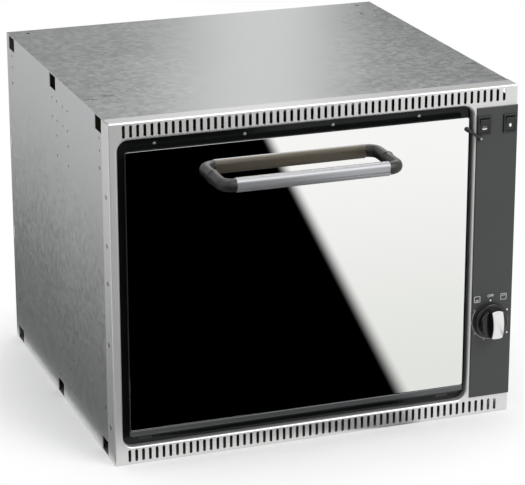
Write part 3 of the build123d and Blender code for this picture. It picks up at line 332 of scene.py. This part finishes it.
# Mineral wool: matted fibres in layers
def mineralWool():
    f = Finish("mineralWool", (0.62, 0.55, 0.32), Roughness=0.95)
    fibre = f.noise(f.stretched(500, 500, 1400), 1.0, 5.0, 0.7)
    f.give(Base_Color=f.blendColour(fibre, (0.42, 0.36, 0.2), (0.75, 0.68, 0.44)))
    return f.bump(fibre, 0.9, 0.001)


finishes = {
    "fascia_steel": brushedSteel("fasciaSteel", (0.7, 0.7, 0.695), (1, 0, 0), 0.4, 0.65),
    "galvanised": galvanisedSheet("galvanised", (0.55, 0.56, 0.565)),
    "panel_grey": grainedCoat("panelGrey", (0.036, 0.039, 0.038), 0.42, 1300, 0.1),
    "enamel": firedEnamel("blackEnamel", (0.006, 0.007, 0.007)),
    "liner_enamel": firedEnamel("linerEnamel", (0.03, 0.032, 0.036), (0.32, 0.33, 0.35), 0.3),
    "black_glass": mirrorGlass(),
    "clear_glass": clearGlass(),
    "door_steel": grainedCoat("doorSteel", (0.02, 0.02, 0.021), 0.4),
    "trim_grey": grainedCoat("trimGrey", (0.085, 0.088, 0.092), 0.32, 1100, 0.08, 0.1, Metallic=0.35),
    "handle_aluminium": handleSkinWithPaintedShade(),
    "black_plastic": grainedCoat("blackPlastic", (0.008, 0.008, 0.0085), 0.46, 1900, 0.3),
    "knob_black": grainedCoat("knobBlack", (0.007, 0.007, 0.0075), 0.2, 1900, 0.08),
    "knob_silver": brushedSteel("knobSilver", (0.83, 0.83, 0.82), (0, 0, 1), 0.3, 1.0, 0.2, 0.1),
    "brass": brushedSteel("brass", (0.62, 0.45, 0.2), (0, 1, 0), 0.3, 1.0, 0.1, 0.1),
    "copper_pipe": brushedSteel("copperPipe", (0.7, 0.36, 0.22), (0, 1, 0), 0.3, 1.0, 0.1, 0.2),
    "bright_steel": brushedSteel("brightSteel", (0.42, 0.42, 0.42), (0, 1, 0), 0.3, 1.0, 0.08, 0.1),
    "burner_steel": brushedSteel("burnerSteel", (0.4, 0.38, 0.35), (1, 0, 0), 0.42, 1.0, 0.2, 0.25),
    "ceramic": grainedCoat("ceramic", (0.8, 0.79, 0.74), 0.2, 600, 0.05),
    "probe_copper": brushedSteel("probeCopper", (0.66, 0.38, 0.25), (1, 0, 0), 0.35, 1.0, 0.1, 0.3),
    "mineral_wool": mineralWool(),
    "gasket_rubber": grainedCoat("gasketRubber", (0.02, 0.02, 0.02), 0.6, 900, 0.4),
}
printWhite = grainedCoat("printWhite", (0.78, 0.79, 0.79), 0.5, 1200, 0.05)
shadowGap = grainedCoat("shadowGap", (0.008, 0.008, 0.008), 0.7)

slotOf = {s["node"]: s["material_slot"] for s in frame["record"]["subparts"]}
for nodeName, obj in nodes.items():
    obj.data.materials.clear()
    obj.data.materials.append(finishes[slotOf[nodeName]].material)
print("finishes made,", len(finishes))


# Making meshes
sharpAngle = math.radians(38)


def finishPiece(name, bm, body, slot, finish=None, smooth=True, stands=()):
    mesh = bpy.data.meshes.new(name)
    bmesh.ops.recalc_face_normals(bm, faces=bm.faces)
    bm.to_mesh(mesh)
    bm.free()
    obj = bpy.data.objects.new(name, mesh)
    bpy.context.scene.collection.objects.link(obj)
    mesh.materials.append((finish or finishes[slot]).material)
    if smooth:
        mesh.polygons.foreach_set("use_smooth", [True] * len(mesh.polygons))
        mesh.set_sharp_from_angle(angle=sharpAngle)
    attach(obj, body)
    if stands:
        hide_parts(*stands)
    return obj


def addRings(bm, rings, closed=False, capped=True):
    # skins a list of equal rings of points, one after another
    loops = [[bm.verts.new(p) for p in ring] for ring in rings]
    pairs = list(zip(loops, loops[1:])) + ([(loops[-1], loops[0])] if closed else [])
    count = len(loops[0])
    for a, b in pairs:
        for i in range(count):
            j = (i + 1) % count
            bm.faces.new((a[i], a[j], b[j], b[i]))
    if capped and not closed:
        bm.faces.new(loops[0])
        bm.faces.new(loops[-1])
    return loops


def roundTurn(x, z, profile, steps=96):
    # rings for a turned piece whose axis runs front to back: profile is (depth, radius) in millimetres
    rings = []
    for d, r in profile:
        turn = [2 * math.pi * i / steps for i in range(steps)]
        rings.append([((x + r * math.cos(t)) * mm, depth(d), (z + r * math.sin(t)) * mm) for t in turn])
    return rings


def boxRings(x0, x1, d0, d1, z0, z1):
    corners = ((x0, z0), (x1, z0), (x1, z1), (x0, z1))
    return [[(x * mm, depth(d), z * mm) for x, z in corners] for d in (d0, d1)]


def roundedOutline(wide, tall, corner, steps, upperLeft=()):
    # a rectangle with round corners, and any extra points that follow its upper left corner
    points = []
    for sideX, sideZ, start in ((1, -1, -90), (1, 1, 0), (-1, 1, 90), (-1, -1, 180)):
        for k in range(steps + 1):
            t = math.radians(start + 90 * k / steps)
            points.append((sideX * (wide / 2 - corner) + corner * math.cos(t),
                           sideZ * (tall / 2 - corner) + corner * math.sin(t)))
        if (sideX, sideZ) == (-1, 1):
            points += upperLeft
    return points


def tubeAlong(points, radii, steps, oval):
    # rings of a swept tube, turned so that each faces along the path
    rings = []
    last = len(points) - 1
    for i, (p, r) in enumerate(zip(points, radii)):
        ahead = (points[min(last, i + 1)] - points[max(0, i - 1)]).normalized()
        side = Vector((0, 0, 1)).cross(ahead).normalized()
        up = ahead.cross(side)
        turns = [2 * math.pi * k / steps for k in range(steps)]
        rings.append([p + side * (r * math.cos(t)) + up * (r * oval * math.sin(t)) for t in turns])
    return rings


# Handle
def makeHandleBar(h):
    front, middle, half, deep = -h["deep"] / 2, h["ledgeZ"], h["ledgeTall"], h["ledgeDeep"]
    ledge = [(front, middle + half), (front + deep, middle + half * 0.6),
             (front + deep, middle - half * 0.2), (front - h["ledgeProud"], middle - half * 0.6)]
    outline = roundedOutline(h["deep"], h["tall"], h["corner"], 8, ledge)
    rings = []
    near, small = h["endShare"], h["endSize"]
    for share, size in ((-0.5, small), (-near, 1.0), (near, 1.0), (0.5, small)):
        x = (h["x"] + share * h["length"]) * mm
        rings.append([(x, depth(-h["out"] + d * size), (h["z"] + z * size) * mm) for d, z in outline])
    bm = bmesh.new()
    addRings(bm, rings)
    return finishPiece("handleBar", bm, "door", "handle_aluminium", stands=["handle_bar"])


def makeHandleEnd(h, side, name, node):
    leg = h["x"] + side * (h["length"] / 2 + h["reach"] - h["legRadius"])
    start = h["x"] + side * (h["length"] / 2 - h["lap"])
    bend = h["reach"] - h["legRadius"] - h["straight"]
    quarter = [math.pi / 2 * k / 14 for k in range(15)]
    path = [(start, -h["out"])]
    path += [(leg - side * bend * (1 - math.sin(t)), -h["out"] + bend * (1 - math.cos(t))) for t in quarter]
    path += [(leg, -h["glassProud"] - height) for height in h["footHeights"]]
    shares = [h["collar"]] + [1.0] * (len(path) - 4) + [h["ankle"]]     # the last two points are the foot
    radii = [h["legRadius"] * share * mm for share in shares] + [h["footRadius"] * mm] * 2
    points = [Vector((x * mm, depth(d), h["z"] * mm)) for x, d in path]
    bm = bmesh.new()
    addRings(bm, tubeAlong(points, radii, 40, h["oval"]))
    return finishPiece(name, bm, "door", "black_plastic", stands=[node])


makeHandleBar(handle)
makeHandleEnd(handle, -1, "handleEndLeft", "handle_end_left")
makeHandleEnd(handle, 1, "handleEndRight", "handle_end_right")
print("handle made")

# Knob
knob = {
    "x": 226.5, "z": 124.0, "skirtBack": -5.1, "skirtFront": -8.3, "skirtRadius": 22.0,
    "baseRadius": 18.5, "baseFront": -16.1, "gripFront": -26.6, "gripWidth": 15.0, "bulge": 5.0,
    "plateThick": 1.0, "plateMargin": 0.4, "spindleRadius": 4.1,
    "skirtRound": 1.1, "baseRound": 2.2, "pointerWide": 1.4, "pointerTall": 2.6, "pointerDrop": 2.2,
}


def gripLoft(k, levels, steps=36):
    # stacked outlines of the grip: each level is (depth at the middle, inset, share of the bulge)
    rings = []
    for d, inset, share in levels:
        half, r = k["gripWidth"] / 2 - inset, k["baseRadius"] - max(0.0, inset)
        top = math.sqrt(r * r - half * half)
        upper = [(half - 2 * half * i / steps) for i in range(steps + 1)]
        points = [(x, math.sqrt(r * r - x * x)) for x in upper]
        points += [(-half, top - 2 * top * i / steps) for i in range(1, steps)]
        points += [(-x, -math.sqrt(r * r - x * x)) for x in upper]
        points += [(half, 2 * top * i / steps - top) for i in range(1, steps)]
        rings.append([((k["x"] + x) * mm, depth(d + share * k["bulge"] * (z / k["baseRadius"]) ** 2),
                       (k["z"] + z) * mm) for x, z in points])
    return rings


def turnedRound(d, radius, size, angles):
    # the front edge of a turned piece, rounded with this size
    return [(d + size - size * math.sin(t), radius - size + size * math.cos(t)) for t in angles]


def makeKnob(k):
    back, front, r, skirtRound = k["skirtBack"], k["skirtFront"], k["skirtRadius"], k["skirtRound"]
    base, rb, baseRound = k["baseFront"], k["baseRadius"], k["baseRound"]
    profile = [(back, k["spindleRadius"]), (back, r - 1.2), (back - 0.5, r - 0.3), (back - 1.4, r)]
    profile += [(front + skirtRound, r)]
    profile += turnedRound(front, r, skirtRound, (0.5, 1.0, 1.57))
    profile += [(front, rb + 1.4), (front - 0.3, rb + 0.5), (front - 1.2, rb), (base + baseRound, rb - 0.3)]
    profile += turnedRound(base, rb - 0.3, baseRound, (0.4, 0.8, 1.2, 1.57))
    profile += [(base, 3.0)]
    bm = bmesh.new()
    addRings(bm, roundTurn(k["x"], k["z"], profile))
    face = k["gripFront"]
    levels = [(base + 1.0, -0.9, 0.0), (base - 1.5, -0.3, 0.0), (base - 4.0, 0.0, 0.2)]
    levels += [(face + 0.6, 0.0, 1.0), (face + 0.15, 0.2, 1.0), (face, 0.5, 1.0)]
    addRings(bm, gripLoft(k, levels))
    return finishPiece("knobBody", bm, "knob", "knob_black", stands=["knob_body"])


def makeKnobPlate(k):
    top, margin = k["gripFront"], k["plateMargin"]
    levels = [(top, margin, 1.0), (top - 0.55, margin, 1.0), (top - 0.85, margin + 0.15, 1.0),
              (top - k["plateThick"], margin + 0.45, 1.0)]
    bm = bmesh.new()
    addRings(bm, gripLoft(k, levels))
    finishPiece("knobPlate", bm, "knob", "knob_silver", stands=["knob_insert"])
    z = k["z"] + k["baseRadius"] - k["pointerDrop"]
    front = top + 0.8 * k["bulge"]
    half = k["pointerWide"] / 2
    bm = bmesh.new()
    addRings(bm, boxRings(k["x"] - half, k["x"] + half, front - 1.25, front + 0.4, z - k["pointerTall"], z))
    finishPiece("knobPointer", bm, "knob", "knob_black", shadowGap, False)


makeKnob(knob)
makeKnobPlate(knob)
print("knob made")

# Dial print and symbols lie on the control panel as a thin layer of ink
dial = {
    "face": -1.6, "ink": 0.06, "x": 226.5, "z": 124.0, "radius": 25.2,
    "dots": (0, -65), "dotRadius": 1.15,
    "ticks": (56, 93, 129, 163, 190), "endMark": (249.9, 104.6), "tickLength": 2.6, "line": 0.55,
    "arc": (58, 230), "textZ": 155.2, "textHigh": 3.6,
    "ovenIcon": (208.6, 152.4), "grillIcon": (243.9, 152.4), "icon": 7.4, "iconCorner": 0.9,
    "iconLine": 0.5, "barLine": 0.45, "zigzagLine": 0.4, "arcLine": 0.28, "letterScale": 1.35,
}


def inkStroke(bm, points, width, closed=False):
    # a flat printed line through points on the panel
    half = width / 2 * mm
    top, low = depth(dial["face"] - dial["ink"]), depth(dial["face"])
    flat = [Vector((x * mm, 0, z * mm)) for x, z in points]
    count = len(flat)
    rings = []
    for i, p in enumerate(flat):
        a = flat[i - 1] if closed or i else p
        b = flat[(i + 1) % count] if closed or i < count - 1 else p
        ahead = (b - a).normalized()
        side = Vector((-ahead.z, 0, ahead.x)) * half
        edges = ((p - side, low), (p - side, top), (p + side, top), (p + side, low))
        rings.append([(q.x, y, q.z) for q, y in edges])
    addRings(bm, rings, closed)


def polar(angle, radius):
    # an angle counted from the top, anticlockwise as seen from the front
    t = math.radians(90 + angle)
    return dial["x"] + radius * math.cos(t), dial["z"] + radius * math.sin(t)


def inkDisc(bm, x, z, radius):
    addRings(bm, roundTurn(x, z, [(dial["face"], radius), (dial["face"] - dial["ink"], radius)], 24))


def inkSquare(bm, x, z):
    outline = roundedOutline(dial["icon"], dial["icon"], dial["iconCorner"], 3)
    inkStroke(bm, [(x + a, z + b) for a, b in outline], dial["iconLine"], True)


def makeLetters(d):
    # the word above the knob, as a thin mesh on the panel
    words = bpy.data.curves.new("dialOff", "FONT")
    words.body = "OFF"
    words.size = d["textHigh"] * mm * d["letterScale"]
    words.extrude = d["ink"] / 2 * mm
    words.align_x = "CENTER"
    words.align_y = "CENTER"
    raw = bpy.data.objects.new("dialOffCurve", words)
    bpy.context.scene.collection.objects.link(raw)
    bpy.context.view_layer.update()
    mesh = bpy.data.meshes.new_from_object(raw.evaluated_get(bpy.context.evaluated_depsgraph_get()))
    bpy.data.objects.remove(raw)
    bpy.data.curves.remove(words)
    mesh.transform(Matrix.Translation((d["x"] * mm, depth(d["face"] - d["ink"] / 2), d["textZ"] * mm))
                   @ Matrix.Rotation(math.radians(90), 4, "X"))
    bm = bmesh.new()
    bm.from_mesh(mesh)
    bpy.data.meshes.remove(mesh)
    finishPiece("dialOff", bm, "casing", "panel_grey", printWhite, False)


def makeDial(d):
    bm = bmesh.new()
    for angle in d["dots"]:
        inkDisc(bm, *polar(angle, d["radius"]), d["dotRadius"])
    inkDisc(bm, *d["endMark"], d["dotRadius"])
    for angle in d["ticks"]:
        near = d["radius"] - 1.0
        inkStroke(bm, [polar(angle, near), polar(angle, near + d["tickLength"])], d["line"])
    low, high = d["arc"]
    arc = [polar(low + (high - low) * i / 48, d["radius"] - 0.8) for i in range(49)]
    inkStroke(bm, arc, d["arcLine"])
    x, z = d["ovenIcon"]
    inkSquare(bm, x, z)
    for drop in (2.1, 1.0):
        inkStroke(bm, [(x - 2.0, z - drop), (x + 2.0, z - drop)], d["barLine"])
    x, z = d["grillIcon"]
    inkSquare(bm, x, z)
    teeth = [(x - 2.6 + 0.87 * i, z + (2.2 if i % 2 else 0.9)) for i in range(7)]
    inkStroke(bm, teeth, d["zigzagLine"])
    finishPiece("dialPrint", bm, "casing", "panel_grey", printWhite, False)
    makeLetters(d)


makeDial(dial)
print("dial printed")

# Rockers with their printed signs
switches = {
    "leftX": 210.9, "rightX": 244.6, "z": 373.5, "face": -4.2, "dish": 0.9, "pivot": 2.0, "tilt": 6.0,
    "ink": 0.05, "lift": 0.02, "drop": 2.6, "rockerHalf": 8.2,
    "bowl": (2.9, 1.5, 0.9), "ray": 0.4,     # the lamp's bowl as half width, depth and line, and its rays
    "flameWide": 1.75, "flameTip": 0.05, "flameTall": 4.6, "flameFoot": 1.6,
}


def onRocker(x, z, lift):
    # a point a little in front of the lower half of a tilted rocker: x and z are counted from its middle
    s = switches
    d = s["face"] + s["dish"] * (1 - abs(z) / s["rockerHalf"]) - lift
    t = math.radians(s["tilt"])
    back, up = d - s["pivot"], z
    return Vector((x * mm, depth(s["pivot"] + back * math.cos(t) - up * math.sin(t)),
                   (s["z"] + back * math.sin(t) + up * math.cos(t)) * mm))


def signStroke(bm, middle, points, width):
    # a printed line on a rocker, through points counted from the rocker's middle
    far, near = switches["lift"], switches["lift"] + switches["ink"]
    rings = []
    for i, (x, z) in enumerate(points):
        a, b = points[max(0, i - 1)], points[min(len(points) - 1, i + 1)]
        ahead = Vector((b[0] - a[0], b[1] - a[1])).normalized() * (width / 2)
        left, right = (middle + x + ahead.y, z - ahead.x), (middle + x - ahead.y, z + ahead.x)
        rings.append([onRocker(*spot, lift)
                      for spot, lift in ((right, far), (right, near), (left, near), (left, far))])
    addRings(bm, rings)


def signFill(bm, middle, rows):
    # a filled printed shape given as rows of (z, left, right)
    far, near = switches["lift"], switches["lift"] + switches["ink"]
    rings = []
    for z, left, right in rows:
        corners = ((left, far), (right, far), (right, near), (left, near))
        rings.append([onRocker(middle + x, z, lift) for x, lift in corners])
    addRings(bm, rings)


def makeSigns(s):
    low = -s["drop"]
    x = s["leftX"]
    wide, deep, line = s["bowl"]
    bm = bmesh.new()
    bowl = [(wide * math.cos(t), low - deep * math.sin(t)) for t in [math.pi * k / 12 for k in range(13)]]
    signStroke(bm, x, bowl, line)
    signFill(bm, x, [(low - 0.2, -2.6, 2.6), (low - 0.8, -2.2, 2.2), (low - 1.4, -1.2, 1.2)])
    for k in (-1, 0, 1):
        signStroke(bm, x, [(1.5 * k, low + 1.0), (1.9 * k, low + 2.1)], s["ray"])
    finishPiece("lampSign", bm, "light_rocker", "black_plastic", printWhite, False)
    x = s["rightX"]
    rows = []
    for k in range(13):
        up = k / 12
        wide = s["flameWide"] * math.sin(math.pi * (1 - up) ** 0.75) ** 0.7 if 0 < k < 12 else s["flameTip"]
        rows.append((low - s["flameFoot"] + s["flameTall"] * up, -wide, wide))
    bm = bmesh.new()
    signFill(bm, x, rows)
    finishPiece("flameSign", bm, "ignition_rocker", "black_plastic", printWhite, False)


makeSigns(switches)
print("signs printed")

# Travel latch: a moulded finger with a waist, a round tip and a bright pin end
latch = {
    "x": 204.4, "z": 359.0, "angle": 143.4, "reach": 20.4, "back": -5.5, "front": -8.7,
    "hub": 3.3, "tip": 2.9, "waist": 1.7, "waistSwell": 0.5, "waistFrom": 2.2, "waistShort": 4.2,
    "pin": 1.5, "pinBack": 6.9, "round": 0.8,
}


def latchOutline(l, inset):
    # a dumb-bell shape: two round ends joined by a waist that curves in
    def waistPoint(u, side):
        reach = l["waistFrom"] + (l["reach"] - l["waistShort"]) * u
        return reach, side * (l["waist"] - inset + l["waistSwell"] * (2 * u - 1) ** 4)

    def roundEnd(x, radius, start):
        turns = [math.radians(start + 260 * k / 20) for k in range(21)]
        return [(x + (radius - inset) * math.cos(t), (radius - inset) * math.sin(t)) for t in turns]

    shares = [k / 8 for k in range(1, 8)]
    points = roundEnd(0, l["hub"], 50) + [waistPoint(u, -1) for u in shares]
    return points + roundEnd(l["reach"], l["tip"], -130) + [waistPoint(1 - u, 1) for u in shares]


def makeLatch(l):
    a = math.radians(l["angle"])
    back, front, r = l["back"], l["front"], l["round"]
    levels = ((back, 0.3), (back - 0.3, 0.0), (front + r, 0.0), (front + 0.3 * r, 0.25 * r), (front, 0.8 * r))
    rings = []
    for d, inset in levels:
        rings.append([((l["x"] + u * math.cos(a) - v * math.sin(a)) * mm, depth(d),
                       (l["z"] + u * math.sin(a) + v * math.cos(a)) * mm) for u, v in latchOutline(l, inset)])
    bm = bmesh.new()
    addRings(bm, rings)
    pin = l["pin"]
    addRings(bm, roundTurn(l["x"], l["z"], [(back, pin + 0.3), (l["pinBack"], pin + 0.3)], 32))
    finishPiece("latchFinger", bm, "travel_latch", "black_plastic", stands=["travel_latch"])
    bm = bmesh.new()
    profile = [(front + 0.5, pin), (front - 0.15, pin), (front - 0.3, pin - 0.4)]
    addRings(bm, roundTurn(l["x"], l["z"], profile, 32))
    finishPiece("latchPinEnd", bm, "travel_latch", "bright_steel")


makeLatch(latch)
print("latch made")

# Stage: a plain floor, dark cards that only reflections see, soft lamps and a white surround
stage = {
    "floorSize": 14.0, "floorDrop": 0.0004, "floorColour": (0.9, 0.9, 0.9), "floorMirrored": 0.97,
    "floorGlow": 0.15, "glowNear": 0.07, "glowFar": 0.19,     # the glow grows between these squared distances
    "edgeTop": (265.0, 131.0), "edgeLow": (402.0, 392.0),     # pixels where the door's light and dark meet
    "edgeBlur": 0.013, "sheetReach": 6.0, "sheetPast": 0.12, "worldDiffuse": 0.5,
}


def stagePiece(name, bm, material):
    mesh = bpy.data.meshes.new(name)
    bm.to_mesh(mesh)
    bm.free()
    obj = bpy.data.objects.new(name, mesh)
    bpy.context.scene.collection.objects.link(obj)
    mesh.materials.append(material)
    return obj


def quad(points):
    bm = bmesh.new()
    bm.faces.new([bm.verts.new(p) for p in points])
    return bm


def makeFloor(s):
    f = Finish("floorWhite", s["floorColour"], Roughness=0.9)
    x, y, z = f.axes()
    # the shadow fades into pure white around the oven
    away = (x * x + y * y).ramp(s["glowNear"], s["glowFar"])
    glowing = away * (1 - s["floorGlow"]) + s["floorGlow"]
    seen = (f.rays("Camera") * glowing).high(f.rays("Glossy", "Transmission") * s["floorMirrored"])
    glow = f.node("Emission", {}, (1, 1, 1), 1.0)
    plain = Wire(f, f.shader.outputs[0])
    f.surface("Material Output", f.node("MixShader", {}, seen, plain, glow))
    half, level = s["floorSize"] / 2, -s["floorDrop"]
    corners = [(-half, -half, level), (half, -half, level), (half, half, level), (-half, half, level)]
    return stagePiece("floor", quad(corners), f.material)


def cardFinish(name, shade, *stops):
    # a dark card whose edges fade out: each stop is a direction and where the fade along it starts and ends
    f = Finish(name, (0.0, 0.0, 0.0), Roughness=1.0)
    f.shader.inputs["Specular IOR Level"].default_value = 0.0
    x, y, z = f.axes()
    cover = None
    for a, b, c, low, high in stops:
        fade = (x * a + y * b + z * c).ramp(low, high)
        cover = fade if cover is None else cover * fade
    f.give(Alpha=cover * shade)
    return f


def glossyOnly(card):
    card.visible_camera = False
    card.visible_diffuse = False
    card.visible_shadow = False
    card.visible_transmission = False
    return card


def makeDarkSheet(s):
    # its fading straight edge is seen in the door as a slanting line between dark and light
    a, b = mirroredOnFloor(s["edgeTop"]), mirroredOnFloor(s["edgeLow"])
    along = (a - b).normalized()
    left = Vector((-along.y, along.x, 0))
    if left.x > 0:
        left = -left
    middle, blur, reach = a.dot(left), s["edgeBlur"], s["sheetReach"]
    f = cardFinish("darkSheet", 1.0, (left.x, left.y, 0.0, middle - blur, middle + blur))
    level = Vector((0, 0, -s["floorDrop"] / 2))
    near, far = b - along * s["sheetPast"] + level, a + along * reach + level
    edge, wide = left * -2 * blur, left * reach
    glossyOnly(stagePiece("darkSheet", quad([near + edge, far + edge, far + wide, near + wide]), f.material))


cardDrop = -0.0002
cards = {     # each has its corners in metres, how dark it is, and where it fades
    "leftFloor": {
        "corners": ((-0.262, -0.5, cardDrop), (-0.262, 3, cardDrop),
                    (-3.2, 3, cardDrop), (-3.2, -0.5, cardDrop)),
        "shade": 0.93, "fades": ((1, 0, 0, -0.74, -0.4), (0, 1, 0, -0.5, -0.2)),
    },
    "leftWall": {
        "corners": ((-2.2, -0.5, 0), (-2.2, 3, 0), (-2.2, 3, 1.0), (-2.2, -0.5, 1.0)),
        "shade": 0.15, "fades": ((0, 0, -1, -0.9, -0.1),),
    },
    "backLeft": {
        "corners": ((-1.6, 1.2, 0.3), (0.42, 1.2, 0.3), (0.42, 1.2, 1.9), (-1.6, 1.2, 1.9)),
        "shade": 0.85, "fades": ((-1, 0, 0, -0.42, -0.2), (0, 0, -1, -1.85, -1.3)),
    },
    "backRight": {
        "corners": ((0.5, 1.2, 0.3), (2.2, 1.2, 0.3), (2.2, 1.2, 1.9), (0.5, 1.2, 1.9)),
        "shade": 0.95, "fades": ((1, 0, 0, 0.5, 0.68), (0, 0, -1, -1.85, -1.3)),
    },
}


def makeCards(wanted):
    for name, card in wanted.items():
        f = cardFinish(name, card["shade"], *card["fades"])
        glossyOnly(stagePiece(name, quad(card["corners"]), f.material))


def makeWorld(s):
    # white to the camera and in reflections, and dimmer as a light
    world = bpy.data.worlds.new("studio")
    bpy.context.scene.world = world
    world.use_nodes = True
    t = Tree(world.node_tree)
    t.nodeTree.nodes.remove(t.nodeTree.nodes["Background"])
    dim = t.node("Background", {}, (1, 1, 1), s["worldDiffuse"])
    bright = t.node("Background", {}, (1, 1, 1), 1.0)
    seen = t.rays("Camera", "Glossy", "Transmission")
    t.surface("World Output", t.node("MixShader", {}, seen, dim, bright))


lamps = {     # place and aim in metres, width and height in metres, power in watts
    "keyLamp": ((1.4, -2.2, 2.4), (0, 0, 0.2), (1.8, 1.8), 60),
    "topLamp": ((-0.2, 0.6, 2.6), (0, 0, 0.3), (1.6, 1.2), 26),
    "leftLamp": ((-2.6, -0.6, 1.6), (-0.2, 0, 0.2), (1.2, 1.2), 6),
}


def makeLamps(wanted):
    for name, (place, aim, size, power) in wanted.items():
        data = bpy.data.lights.new(name, "AREA")
        data.shape = "RECTANGLE"
        data.size, data.size_y = size
        data.energy = power
        obj = bpy.data.objects.new(name, data)
        away = Vector(aim) - Vector(place)
        obj.matrix_world = Matrix.Translation(place) @ away.to_track_quat("-Z", "Y").to_matrix().to_4x4()
        bpy.context.scene.collection.objects.link(obj)


makeFloor(stage)
makeDarkSheet(stage)
makeCards(cards)
makeWorld(stage)
makeLamps(lamps)
bpy.context.scene.view_settings.view_transform = "Standard"
print("stage set")
